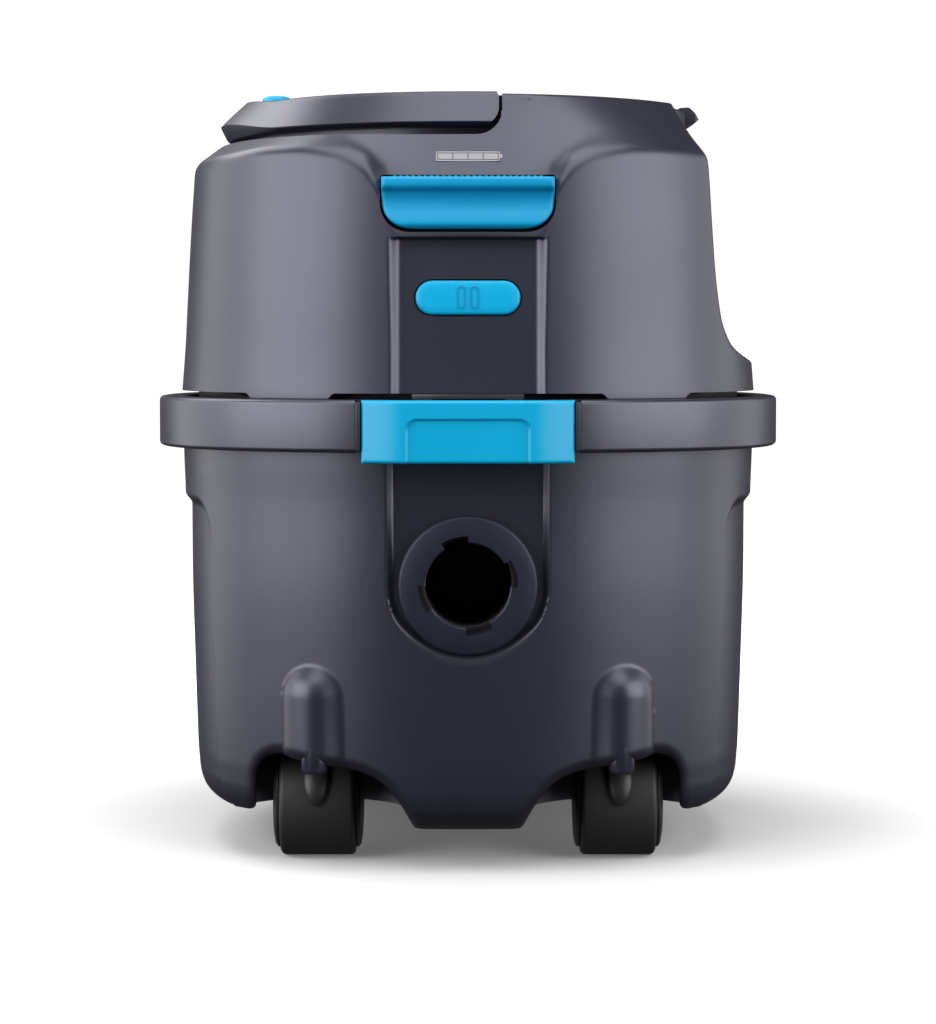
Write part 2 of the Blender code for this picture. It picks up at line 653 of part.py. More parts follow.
def foot_pedal():
    low, high = 322.4, 347.8
    scoop = [(-157.5, low + 1), (-155.3, low + 7), (-153.6, low + 13), (-154.5, low + 18)]
    lip = [(-158, high - 5.6), (-159.5, high - 5), (-159.5, high - 1), (-158, high)]
    side = [(-141, low + 1), (-152.5, low), *scoop, *lip, (-141, high)]
    pedal = add("foot_pedal", prism(side, -42.8, 42.8, "X"), "blue_plastic", PEDAL_PIN)
    keep = rounded((-42.8, low - 0.1), (42.8, high + 0.1), (14, 14, 1.5, 1.5))
    combine(pedal, "INTERSECT", [helper("pedal_outline", prism(keep, -170, -130, "Y"))])
    cut(pedal, helper("pedal_bore", cylinder(PEDAL_PIN, 1.9, 120, "X", 16)))
    add("pedal_pin", cylinder(PEDAL_PIN, 1.6, 92, "X", 16), "steel")


def power_button():
    cap = panel_frame(prism(pill(26, 8.5, 288.5), PANEL_FOOT_Y - 1.6, PANEL_FOOT_Y + 6.5, "Y"))
    soften(add("power_button", cap, "blue_plastic", (0, -153.8, 288.5)), 1.0)


def front_latch():
    front = [(-52.3, -174), (-42, -178.6), (-32, -181), (32, -181), (42, -178.6), (52.3, -174)]
    back = [(52.3, -169.6), (32, -175.6), (-32, -175.6), (-52.3, -169.6)]
    latch = add("front_latch", prism([*front, *back], 207, RING_HIGH, "Z"), "blue_plastic", LATCH_PIN)
    panel = rounded((-30.6, 200), (30.6, 229), (0, 0, 6, 6))
    cut(latch, helper("latch_panel", prism(panel, -190, -179.8, "Y")))
    y, z = LATCH_PIN.y, LATCH_PIN.z
    ear = [(-176.2, z - 5), *arc((y, z), 3.4, -90, 90, 8), (-176.2, z + 3.6)]
    ears = [helper(f"latch_ear_{k}", prism(ear, x, x + 5, "X")) for k, x in enumerate((-35, 30))]
    claw = box((-12, -176.2, 213), (12, -162.6, 218))
    join(latch, *ears, helper("latch_claw", claw))
    cut(latch, helper("latch_bore", cylinder(LATCH_PIN, 1.8, 100, "X", 16)))
    add("latch_pin", cylinder(LATCH_PIN, 1.5, 74, "X", 16), "steel")
    plate = [(-149.6, 238.6), (-149.6, 240.7), (-166, 240.7), (-166, 238.6)]
    lug = [*plate, (-166, z + 3), *arc((y, z), 3.4, 70, 290, 10), (-163.4, z - 2), (-163.4, 238.6)]
    flange = add("latch_bracket", prism(plate, -27.5, 27.5, "X"), "dark_plastic")
    join(flange, *[helper(f"latch_lug_{k}", prism(lug, x, x + 9, "X")) for k, x in enumerate((-27, 18))])
    cut(flange, helper("bracket_pin_bore", cylinder(LATCH_PIN, 1.8, 100, "X", 16)))


# ---------------------------------------------------------------- casters

def caster_fork(name, left, rear):
    axle = Vector((CASTER_X, -CASTER_Y - TRAIL, WHEEL_RADIUS))
    near, far = (CASTER_X - 23.2, axle.y - 14), (CASTER_X + 23.2, -CASTER_Y + 11)
    bridge = mirrored(prism(rounded(near, far, (6, 6, 8, 8), 4), 61.2, 65.6), left, rear)
    swivel = (CASTER_X * (-1 if left else 1), CASTER_Y * (1 if rear else -1), 0)
    fork = add(f"caster_fork_{name}", bridge, "caster_black", swivel)
    pieces = [("stem", cylinder((CASTER_X, -CASTER_Y, (STEM_TOP + 63) / 2), 5, STEM_TOP - 63, segments=16))]
    for k, x in enumerate((-23.2, 19.9)):
        cheek = [*arc((axle.y, axle.z), 26, 155, 385, 14), (axle.y + 13, 62), (axle.y - 13, 62)]
        mesh = prism(cheek, CASTER_X + x, CASTER_X + x + 3.3, "X")
        pieces.append((f"cheek_{k}", mesh))
    pieces.append(("nose", caster_nose(axle)))
    join(fork, *[helper(f"fork_{part}_{name}", mirrored(mesh, left, rear)) for part, mesh in pieces])
    cut(fork, helper(f"fork_bore_{name}", mirrored(cylinder(axle, 3.3, 80, "X", 20), left, rear)))
    pin = mirrored(cylinder(axle, 3, 45.6, "X", 20), left, rear)
    add(f"caster_axle_{name}", pin, "steel")


def caster_nose(axle):
    """The bullet-shaped spine that comes down in front of the wheel to a point."""
    near, far, half = WHEEL_RADIUS + 0.9, WHEEL_RADIUS + 4.2, 6.5
    rings = []
    for degrees in (95, 80, 65, 50, 38, 26, 14, 6, 1):
        angle = math.radians(degrees)
        width = half * min(1, math.sin(min(math.pi / 2, math.radians(degrees) * 1.9 + 0.05)))
        depth = near + (far - near) * (0.35 + 0.65 * width / half)
        out = Vector((0, -math.cos(angle), math.sin(angle)))
        middle = (near + depth) / 2
        section = [(-1, near), (1, near), (1, middle), (0.6, depth), (-0.6, depth), (-1, middle)]
        rings.append([axle + out * reach + Vector((x * width, 0, 0)) for x, reach in section])
    return loft(rings)


def caster_wheel(name, left, rear):
    centre = Vector((CASTER_X * (-1 if left else 1), (CASTER_Y + TRAIL) * (1 if rear else -1), WHEEL_RADIUS))
    bore, half = 3.3, WHEEL_HALF
    shoulder = [(WHEEL_RADIUS - 3, half), (WHEEL_RADIUS - 0.9, half - 0.9), (WHEEL_RADIUS, half - 3)]
    near_side = [(radius, -x) for radius, x in shoulder]
    profile = [(bore, -half), *near_side, *shoulder[::-1], (bore, half)]
    add(f"caster_wheel_{name}", turned(profile, "X", centre, 32), "wheel_rubber", centre)


def main():
    clear_scene()
    make_materials()
    tub_shell()
    bumper_ring()
    inlet()
    dust_bag()
    latch_catch()
    hinge_parts()
    head_shell()
    battery_gauge()
    motor_deck()
    motor_filter()
    motor()
    exhaust()
    battery()
    electronics()
    battery_lid()
    carry_handle()
    foot_pedal()
    power_button()
    front_latch()
    for corner in CORNERS:
        caster_fork(*corner)
        caster_wheel(*corner)


main()
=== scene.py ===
"""Looks of the compact tub vacuum: smooth shells, procedural plastics, soft studio light.

Shape functions work in millimetres, as the CAD does, and meshes are scaled to metres as they are made.
"""

import json
import math

import bmesh
import bpy
import numpy as np
from mathutils import Matrix, Vector

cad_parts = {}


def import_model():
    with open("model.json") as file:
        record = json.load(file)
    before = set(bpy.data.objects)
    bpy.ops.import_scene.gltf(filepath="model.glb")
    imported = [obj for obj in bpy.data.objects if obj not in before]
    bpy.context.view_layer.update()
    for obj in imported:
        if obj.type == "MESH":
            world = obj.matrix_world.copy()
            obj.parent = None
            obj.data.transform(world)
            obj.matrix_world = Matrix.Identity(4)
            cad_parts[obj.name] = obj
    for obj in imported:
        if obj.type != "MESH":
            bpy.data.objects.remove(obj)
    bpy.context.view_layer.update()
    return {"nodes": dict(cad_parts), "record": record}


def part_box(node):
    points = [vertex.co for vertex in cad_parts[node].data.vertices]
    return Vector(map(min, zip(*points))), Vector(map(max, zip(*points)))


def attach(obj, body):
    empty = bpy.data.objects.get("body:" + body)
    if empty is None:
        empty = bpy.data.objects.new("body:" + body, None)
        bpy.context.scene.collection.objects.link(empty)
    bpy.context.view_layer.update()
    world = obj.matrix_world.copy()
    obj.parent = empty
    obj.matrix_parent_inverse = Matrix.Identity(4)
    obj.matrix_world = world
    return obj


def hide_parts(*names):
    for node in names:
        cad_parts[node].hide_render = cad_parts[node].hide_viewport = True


MM = 0.001

# All lengths below are in millimetres, and each table is (height, half width) unless it says otherwise.
# The plan is a superellipse of this power, deeper than wide by DEPTH_OVER_WIDTH on each side.
POWER = 2.5
DEPTH_OVER_WIDTH = 8
WALL = 3
FLOOR_TOP, TUB_TOP = 23.5, 238
RING_LOW, RING_HIGH = 212, 238
HEAD_LOW, HEAD_WIDTH, HEAD_DEPTH = 241, 154.6, 162.6
RIM_HEIGHT, RIM_RADIUS = 391.5, 125
DECK_HEIGHT, LEDGE_HEIGHT = 381, 375.4

TUB_SIDE = [
    (20, 126), (21.2, 133), (24, 140), (27.5, 144.6), (32, 147.6), (38, 149.2), (44, 149.8), (52, 150.4),
    (98, 151.8), (141, 152.9), (185, 153.1), (207, 153.8), (TUB_TOP, 154.3),
]
HEAD_SIDE = [(HEAD_LOW, 154.6), (266, 152.7), (289, 151.5), (325, 149.5), (365, 146.8)]
# (height, x) of the flat that cuts the head's right side
HEAD_FLAT = [
    (238, 155.5), (254.4, 155.4), (255.6, 153.6), (257.8, 148), (261, 141.5), (265, 136.6),
    (271, 133), (279, 130.2), (302, 126.9), (330, 124.8), (355, 123.2), (359.5, 122.6),
    (362.5, 121.4), (366.6, 118.8), (373, 114.7), (382, 110.4), (395, 105),
]
# (distance from the middle, height) of the crest where the head's front wall meets its slope
CREST = [
    (0, 321), (35, 321), (38.6, 322.8), (42.3, 329.7), (47.8, 344.6), (56.2, 354.6),
    (68.7, 359.5), (92, 362.6), (108, 362.7), (128, 361.3), (146, 360), (170, 359.6),
]
REAR_CREST = 359.6
LEFT_RIM_DROP = 12.5

# How deep the tub's side panels are sunk
PANEL_STEP = 3.4

INLET_HEIGHT = 146
RECESS_HALF, RECESS_Y, RECESS_RADIUS = 39.8, -155.5, 40
PANEL_LEAN, PANEL_FOOT_Y = math.radians(4.4), -157.5
LID_EDGE, LID_CUT, LID_FOOT = 15.5, 17.2, 376.1
GROOVE_HEIGHT = 370.2
LID_BUTTON_X = -104.5
LID_TOP = 391
# (x, height) of the pins that the lid and the handle turn on
LID_PIN, HANDLE_PIN = (12.5, 388), (30, 386.5)
POWER_BUTTON_HEIGHT = 288.5
# Cutters reach this far past the body
FAR = 200
CASTER_X, CASTER_Y, TRAIL = 77.6, 79, 12
WHEEL_RADIUS, WHEEL_HALF = 30, 19.4
POCKET_RADIUS, POCKET_TOP = 47.3, 67
STEM_TOP = 79

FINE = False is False

# The tint of the grey plastic's reflections
SHEEN = (0.82, 0.82, 1.0)

# Strength of the world for everything but the camera, and for the camera
AMBIENT, BACKDROP = 0.06, 1.1
# The floor's own light near the object and far from it, and where the change starts and ends, in metres
FLOOR_GLOW = (0.1, 1.05)
FLOOR_REACH = (0.12, 0.62)
# name, place, size and power of each area lamp, in metres and watts
LAMPS = [
    ("key_left", (-1.27, -0.79, 0.62), (1.6, 1.3), 28),
    ("key_right", (1.27, -0.79, 0.62), (1.6, 1.3), 25),
    ("side_left", (-1.45, 0.5, 0.45), (1.3, 1.3), 9),
    ("side_right", (1.45, 0.5, 0.45), (1.3, 1.3), 7),
    ("overhead", (0, -0.55, 1.8), (1.6, 1.9), 29),
    ("top_left", (-0.85, 0.7, 1.35), (0.9, 0.9), 10),
]
LAMP_TARGET = (0, 0, 0.2)
# The camera's place in metres, how far it looks down in degrees, and its lens and sensor in millimetres
CAMERA_PLACE, CAMERA_DIP = (0, -1.593, 0.265), 3.295
LENS, SENSOR = 102, 36


# ------------------------------ mesh helpers

def new_object(name, mesh_data):
    made = bpy.data.objects.new(name, mesh_data)
    bpy.context.scene.collection.objects.link(made)
    return made


def from_arrays(name, points, faces):
    """points in millimetres and faces as lists of indices."""
    data = bpy.data.meshes.new(name)
    data.from_pydata((np.asarray(points, float) * MM).tolist(), [], faces)
    data.update()
    return new_object(name, data)


def grid_faces(rows, columns, wrap):
    r, c = np.meshgrid(np.arange(rows - 1), np.arange(columns if wrap else columns - 1), indexing="ij")
    across = (c + 1) % columns
    row, above = r * columns, (r + 1) * columns
    quads = np.stack([row + c, row + across, above + across, above + c], -1)
    return quads.reshape(-1, 4).tolist()


def tube(name, rings):
    """A closed solid from an array of rings (rows, columns, 3), capped at both ends."""
    rings = np.asarray(rings, float)
    rows, columns = rings.shape[:2]
    faces = grid_faces(rows, columns, True)
    faces.append(list(range(columns))[::-1])
    faces.append([(rows - 1) * columns + k for k in range(columns)])
    return from_arrays(name, rings.reshape(-1, 3), faces)


def hoop(name, rings):
    """A closed solid from rings whose last joins the first."""
    rings = np.asarray(rings, float)
    rows, columns = rings.shape[:2]
    closed = np.concatenate([rings, rings[:1]])
    faces = np.array(grid_faces(rows + 1, columns, True)) % (rows * columns)
    return from_arrays(name, closed[:rows].reshape(-1, 3), faces.tolist())


def slab(name, front, back):
    """A closed solid between two grids of the same size."""
    front, back = np.asarray(front, float), np.asarray(back, float)
    rows, columns = front.shape[:2]
    count = rows * columns
    faces = grid_faces(rows, columns, False)
    faces += [[count + i for i in face[::-1]] for face in faces]
    border = [*range(columns)]
    border += [r * columns + columns - 1 for r in range(1, rows)]
    border += [(rows - 1) * columns + c for c in range(columns - 2, -1, -1)]
    border += [r * columns for r in range(rows - 2, 0, -1)]
    for a, b in zip(border, border[1:] + border[:1]):
        faces.append([b, a, count + a, count + b])
    return from_arrays(name, np.concatenate([front.reshape(-1, 3), back.reshape(-1, 3)]), faces)


def clean(target):
    """Merges the points of a closed mesh that fall together, and turns its faces outward."""
    mesh = bmesh.new()
    mesh.from_mesh(target.data)
    bmesh.ops.remove_doubles(mesh, verts=mesh.verts, dist=1e-7)
    bmesh.ops.delete(mesh, geom=[e for e in mesh.edges if not e.link_faces], context="EDGES")
    bmesh.ops.recalc_face_normals(mesh, faces=mesh.faces)
    mesh.to_mesh(target.data)
    mesh.free()
    return target


def boolean(target, operation, others):
    """Applies each Boolean and removes the other objects."""
    clean(target)
    for other in others:
        clean(other)
        step = target.modifiers.new("step", "BOOLEAN")
        step.operation, step.solver, step.object = operation, "MANIFOLD", other
        bake(target)
        bpy.data.objects.remove(other)
    return target


def bake(target):
    """Applies the object's modifiers to its mesh."""
    graph = bpy.context.evaluated_depsgraph_get()
    graph.update()
    made = bpy.data.meshes.new_from_object(target.evaluated_get(graph))
    old = target.data
    target.modifiers.clear()
    target.data = made
    bpy.data.meshes.remove(old)
    return target


def cut(target, *others):
    return boolean(target, "DIFFERENCE", others)


def join(target, *others):
    return boolean(target, "UNION", others)


def smooth(target, angle=32):
    """Smooth shading that breaks at edges sharper than the angle."""
    for polygon in target.data.polygons:
        polygon.use_smooth = True
    target.data.set_sharp_from_angle(angle=math.radians(angle))
    return target


def round_edges(target, width, segments=3, angle=35):
    bevel = target.modifiers.new("rounded_edges", "BEVEL")
    bevel.width, bevel.segments, bevel.limit_method = width * MM, segments, "ANGLE"
    bevel.angle_limit, bevel.harden_normals = math.radians(angle), False
    return target


def block(name, low, high):
    x0, y0, z0 = low
    x1, y1, z1 = high
    ring = [(x0, y0), (x1, y0), (x1, y1), (x0, y1)]
    return tube(name, [[(x, y, z) for x, y in ring] for z in (z0, z1)])


def prism(name, outline, low, high, axis="Z"):
    """Extrudes a flat outline of (x, y), (x, z) for axis Y or (y, z) for axis X."""
    place = {"Z": (0, 1, 2), "Y": (0, 2, 1), "X": (1, 2, 0)}[axis]
    rings = []
    for far in (low, high):
        ring = np.zeros((len(outline), 3))
        ring[:, place[0]], ring[:, place[1]] = np.asarray(outline).T
        ring[:, place[2]] = far
        rings.append(ring)
    return tube(name, rings)


def turned(name, profile, axis="Z", centre=(0, 0, 0), segments=96, start=0.0, sweep=math.tau):
    """Sweeps a closed (radius, height) profile round an axis."""
    full = sweep == math.tau
    angles = start + sweep * np.arange(segments if full else segments + 1) / segments
    radius, height = np.asarray(profile, float).T
    x, y = np.outer(np.cos(angles), radius), np.outer(np.sin(angles), radius)
    z = np.tile(height, (len(angles), 1))
    rings = np.stack({"Z": (x, y, z), "X": (z, x, y), "Y": (x, z, y)}[axis], -1) + np.asarray(centre, float)
    made = hoop(name, rings) if full else tube(name, rings)
    return clean(made)


def rod(name, centre, radius, length, axis="Z", segments=48):
    half = length / 2
    return turned(name, [(0, -half), (radius, -half), (radius, half), (0, half)], axis, centre, segments)


def mirror(target, x=False, y=False):
    """Mirrors a mesh to the left, to the rear or to both."""
    scale = Matrix.Diagonal((-1 if x else 1, -1 if y else 1, 1, 1))
    target.data.transform(scale)
    if x != y:
        target.data.flip_normals()
    return target


def lean(target, pivot, angle):
    """Tips a mesh back about a line along X through the pivot."""
    place = Matrix.Translation(Vector(pivot) * MM)
    target.data.transform(place @ Matrix.Rotation(-angle, 4, "X") @ place.inverted())
    return target


# ------------------------------ curves and distances

def arc(centre, radius, first, last, steps=8):
    angles = np.radians(np.linspace(first, last, steps + 1))
    return [(centre[0] + radius * math.cos(a), centre[1] + radius * math.sin(a)) for a in angles]


def flowing(points, count):
    """Evenly spaced points on a smooth curve through the given ones."""
    points = np.asarray(points, float)
    before, after = 2 * points[:1] - points[1:2], 2 * points[-1:] - points[-2:-1]
    padded = np.concatenate([before, points, after])
    dense = []
    for k in range(1, len(padded) - 2):
        p0, p1, p2, p3 = padded[k - 1:k + 3]
        t = np.linspace(0, 1, 24, endpoint=False)[:, None]
        span = np.linalg.norm(p2 - p1)
        m1 = (p2 - p0) / max(np.linalg.norm(p2 - p0), 1e-9) * span
        m2 = (p3 - p1) / max(np.linalg.norm(p3 - p1), 1e-9) * span
        dense.append((2 * t**3 - 3 * t**2 + 1) * p1 + (t**3 - 2 * t**2 + t) * m1
                     + (3 * t**2 - 2 * t**3) * p2 + (t**3 - t**2) * m2)
    dense = np.concatenate([*dense, padded[-2][None]])
    length = np.concatenate([[0], np.cumsum(np.linalg.norm(np.diff(dense, axis=0), axis=1))])
    at = np.linspace(0, length[-1], count)
    return np.stack([np.interp(at, length, dense[:, k]) for k in range(dense.shape[1])], -1)


def table_curve(table):
    """A function that reads a smooth curve through (place, value) pairs, without overshoot."""
    place, value = np.asarray(table, float).T
    slope = np.diff(value) / np.diff(place)
    before, after = slope[:-1], slope[1:]
    inner = np.where(before * after > 0, 2 * before * after / (before + after + 1e-12), 0)
    tangent = np.concatenate([slope[:1], inner, slope[-1:]])

    def read(at):
        at = np.clip(at, place[0], place[-1])
        k = np.clip(np.searchsorted(place, at, side="right") - 1, 0, len(place) - 2)
        span = place[k + 1] - place[k]
        t = (at - place[k]) / span
        return ((2 * t**3 - 3 * t**2 + 1) * value[k] + (t**3 - 2 * t**2 + t) * span * tangent[k]
                + (3 * t**2 - 2 * t**3) * value[k + 1] + (t**3 - t**2) * span * tangent[k + 1])

    return read


def ramp(value, start, end):
    """0 at start and 1 at end, smooth between."""
    t = np.clip((value - start) / (end - start), 0, 1)
    return t * t * (3 - 2 * t)


def soft_max(a, b, width):
    """The larger of the two, blended where they differ by less than width."""
    h = np.maximum(width - np.abs(a - b), 0) / width
    return np.maximum(a, b) + h * h * width / 4


def soft_min(a, b, width):
    return -soft_max(-a, -b, width)


def box_distance(u, v, middle, half, radius):
    """Signed distance to a rounded rectangle, negative inside."""
    du, dv = np.abs(u - middle[0]) - half[0] + radius, np.abs(v - middle[1]) - half[1] + radius
    outside = np.hypot(np.maximum(du, 0), np.maximum(dv, 0))
    return outside + np.minimum(np.maximum(du, dv), 0) - radius


def line_distance(u, v, path):
    """Distance to an open path, negative on its left."""
    nearest = np.full(u.shape, 1e9)
    side = np.ones(u.shape)
    for (u0, v0), (u1, v1) in zip(path, path[1:]):
        du, dv = u1 - u0, v1 - v0
        t = np.clip(((u - u0) * du + (v - v0) * dv) / (du * du + dv * dv), 0, 1)
        away = np.hypot(u - u0 - t * du, v - v0 - t * dv)
        closer = away < nearest
        nearest = np.where(closer, away, nearest)
        side = np.where(closer, np.sign((u - u0) * dv - (v - v0) * du), side)
    return nearest * side


def rounded(low, high, radii, steps=8):
    """A rectangle's outline with radii at its lower left, lower right, upper right, upper left."""
    corners = [(*low, 1, 1), (high[0], low[1], -1, 1), (*high, -1, -1), (low[0], high[1], 1, -1)]
    points = []
    for k, (x, y, right, up) in enumerate(corners):
        radius = max(radii[k], 0.01)
        centre = (x + right * radius, y + up * radius)
        points += arc(centre, radius, 180 + 90 * k, 270 + 90 * k, steps if radii[k] else 1)
    return points


def plan(half_width, half_depth, power=POWER, count=96, angles=None):
    """x and y of the body's plan outline."""
    angles = np.arange(count) * math.tau / count if angles is None else angles
    c, s = np.cos(angles), np.sin(angles)
    x = half_width * np.sign(c) * np.abs(c) ** (2 / power)
    y = half_depth * np.sign(s) * np.abs(s) ** (2 / power)
    return x, y


def column_angles(front_step, other_step, half_width=156, half_depth=164):
    """Angles round the plan whose columns are closer together at the front."""
    angles = np.linspace(0, math.tau, 7201)
    x, y = plan(half_width, half_depth, angles=angles)
    step = np.where(y[:-1] < -95, front_step, other_step)
    count = np.concatenate([[0], np.cumsum(np.hypot(np.diff(x), np.diff(y)) / step)])
    total = int(count[-1])
    return np.interp(np.arange(total) * count[-1] / total, count, angles)


# ------------------------------ tub

# name of the corner, whether it's on the left and whether it's at the rear
CORNERS = [
    ("front_left", True, False), ("front_right", False, False),
    ("rear_left", True, True), ("rear_right", False, True),
]
# (distance from the middle, height) along the opening over a wheel
ARCH = [
    (108.5, 2), (108.5, 30), (108.3, 44), (106.3, 51), (101.8, 56.2), (95, 58.4), (86, 57.4), (74, 55),
    (60.5, 52.7), (50.3, 50), (41.8, 44.8), (34.2, 35.6), (29.6, 27), (27, 20), (24.5, 2),
]
ARCH_LIP = 6
BULGE_X, BULGE_Y, BULGE_TOP, BULGE_RADIUS = 76, 137.5, 88.6, 17.4


def arch_path(count=70):
    return flowing(ARCH, count)


def shaped_tub(x, y, z):
    """Moves points of the plain tub wall into its panels, recess, bulges and arch lips."""
    side = box_distance(y, z, (0, 97.5), (99, 88.5), 21)
    panel = ramp(side, 0.5, -1.6 - 4 * ramp(z, 158, 184)) * (np.abs(x) > 100)
    x = x - np.sign(x) * PANEL_STEP * panel
    # bulges over the casters
    across, up = np.abs(x) - BULGE_X, np.maximum(z - BULGE_TOP, 0)
    bulge = BULGE_Y + np.sqrt(np.maximum(BULGE_RADIUS**2 - across**2 - up**2, 0))
    bulge = np.where(across**2 + up**2 < BULGE_RADIUS**2, bulge, 0)
    depth = soft_max(np.abs(y), bulge, 5)
    # the front recess, crisp above and fading at its foot
    beside, around = np.abs(x) - RECESS_HALF, np.hypot(x, z - INLET_HEIGHT) - RECESS_RADIUS
    away = np.where(z > INLET_HEIGHT, beside, around)
    fade = 2.6 + 12 * ramp(z, 132, 108)
    inside = ramp(away, 0.8, -fade) * (y < 0)
    depth = depth + np.minimum(-RECESS_Y - depth, 0) * inside
    # rolled lips round the arches
    away = line_distance(np.abs(x), z, arch_path())
    roll = ARCH_LIP - np.sqrt(np.maximum(ARCH_LIP**2 - np.clip(ARCH_LIP - away, 0, ARCH_LIP) ** 2, 0))
    roll = roll + np.clip(-away, 0, 3)
    depth = depth - np.where((np.abs(y) > 95) & (z < 75), roll, 0)
    return x, np.sign(y) * depth, z


def tub_cavity():
    """The inside of the tub, kept clear of the recess, the wheel pockets and the arches."""
    reads = table_curve(TUB_SIDE)
    heights = [FLOOR_TOP, 27, 32, 52, 98, 141, 185, 207, TUB_TOP + 10]
    rings = []
    for height in heights:
        half = float(reads(height)) - WALL
        x, y = plan(half - PANEL_STEP / 2, half + DEPTH_OVER_WIDTH, count=160)
        rings.append(np.stack([x, y, np.full_like(x, height)], -1))
    cavity = tube("tub_cavity", rings)
    blocks = [block("recess_back", (-44, -FAR, 100), (44, -152.3, 260))]
    wide = np.array(arch_path(40))
    wide[:, 0] += np.sign(wide[:, 0] - 68) * WALL
    wide[:, 1] = np.where(wide[:, 1] > 3, wide[:, 1] + WALL, -10)
    for _, left, rear in CORNERS:
        roof_length = 2 * (POCKET_TOP + WALL - 20)
        roof = rod("roof", (CASTER_X, -CASTER_Y, 20), POCKET_RADIUS + WALL, roof_length, segments=80)
        boss = rod("boss", (CASTER_X, -CASTER_Y, 42), 9, 84)
        tunnel = prism("tunnel", wide, -FAR, -CASTER_Y - 9, "Y")
        blocks += [mirror(part, left, rear) for part in (roof, boss, tunnel)]
    return cut(cavity, *blocks)


def tub_shell(materials):
    angles = column_angles(1.0, 2.0) if FINE else column_angles(1.8, 3.5)
    side = flowing([(a, h) for h, a in TUB_SIDE], 210 if FINE else 120)
    rings = []
    for half, height in side:
        x, y = plan(half, half + DEPTH_OVER_WIDTH, angles=angles)
        x, y, z = shaped_tub(x, y, np.full_like(x, height))
        rings.append(np.stack([x, y, z], -1))
    shell = tube("tub_body", rings)
    cutters = [tub_cavity(), rod("inlet_hole", (0, -155, INLET_HEIGHT), 28, 30, "Y", 80)]
    opening = [*arch_path(90).tolist(), (21, -10), (112, -10)]
    bosses = []
    for _, left, rear in CORNERS:
        pocket_centre = (CASTER_X, -CASTER_Y, POCKET_TOP / 2 - 10)
        pocket = rod("pocket", pocket_centre, POCKET_RADIUS, POCKET_TOP + 20, segments=120)
        tunnel = prism("arch", opening, -FAR, -CASTER_Y - 12, "Y")
        stem = rod("stem", (CASTER_X, -CASTER_Y, 70), 5.4, 22)
        cutters += [mirror(part, left, rear) for part in (pocket, tunnel, stem)]
        profile = [(0, 50.6), (4.6, 50.6), (5.9, 51.2), (6.5, 52.6), (6.6, 64), (0, 64)]
        bosses.append(mirror(turned("boss", profile, centre=(77, -148.4, 0), segments=40), left, rear))
    cut(shell, *cutters)
    join(shell, *bosses)
    smooth(shell)
    finish_piece(shell, "tub", materials["body"], "body_plastic", "tub_shell")


def bumper_ring(materials):
    wide, corner = 12, 2.2
    lower = arc((wide - corner, RING_LOW + corner), corner, 270, 360, 8)
    upper = arc((wide - corner, RING_HIGH - corner), corner, 0, 90, 8)
    section = [(0, RING_LOW), *lower, (wide, RING_LOW + 13), *upper, (0, RING_HIGH)]
    angles = column_angles(1.5, 3, 163, 171)
    rings = []
    for outset, height in section:
        x, y = plan(154.6 + outset, 162.6 + outset, angles=angles)
        rings.append(np.stack([x, y, np.full_like(x, height)], -1))
    ring = hoop("bumper_band", rings)
    cut(ring, block("mouth", (-55.5, -FAR, 200), (55.5, -100, 250)))
    smooth(ring, 40)
    finish_piece(ring, "tub", materials["ring"], "body_plastic", "bumper_ring")


def inlet_collar(materials):
    face, bore, wide_bore, radius = -162.5, 21, 24.7, 34.6
    lip = [(radius, 6.6), (radius, 1.6), (radius - 0.5, 0.5), (radius - 1.6, 0)]
    inside = [(bore + 0.7, 0), (bore, 0.7), (bore, 3), (wide_bore, 3), (wide_bore, 21)]
    profile = [*inside, (27.2, 21), (27.2, 6.6), *lip]
    collar = turned("inlet_ring", profile, "Y", (0, face, INLET_HEIGHT), 160)
    notches = []
    for middle in (15, 106, 196, 284):
        outer = arc((0, INLET_HEIGHT), wide_bore - 0.05, middle - 16.5, middle + 16.5, 12)
        inner = arc((0, INLET_HEIGHT), 15, middle + 16.5, middle - 16.5, 6)
        notches.append(prism("notch", [*outer, *inner], face - 5, face + 3.5, "Y"))
    cut(collar, *notches)
    smooth(round_edges(collar, 0.35, 2, 50), 40)
    finish_piece(collar, "tub", materials["recess"], "body_plastic", "inlet_collar")
    flap = [(0, 0), (3, -0.6), (12, -1.8), (20, -1.2), (21.6, 0), (21.6, 1.4), (12, 0.4), (0, 1.2)]
    membrane = turned("bag_membrane", flap, "Y", (0, -95.5, INLET_HEIGHT), 96)
    smooth(membrane, 50)
    finish_piece(membrane, "tub", materials["seal"], "seal_rubber")


# ------------------------------ head

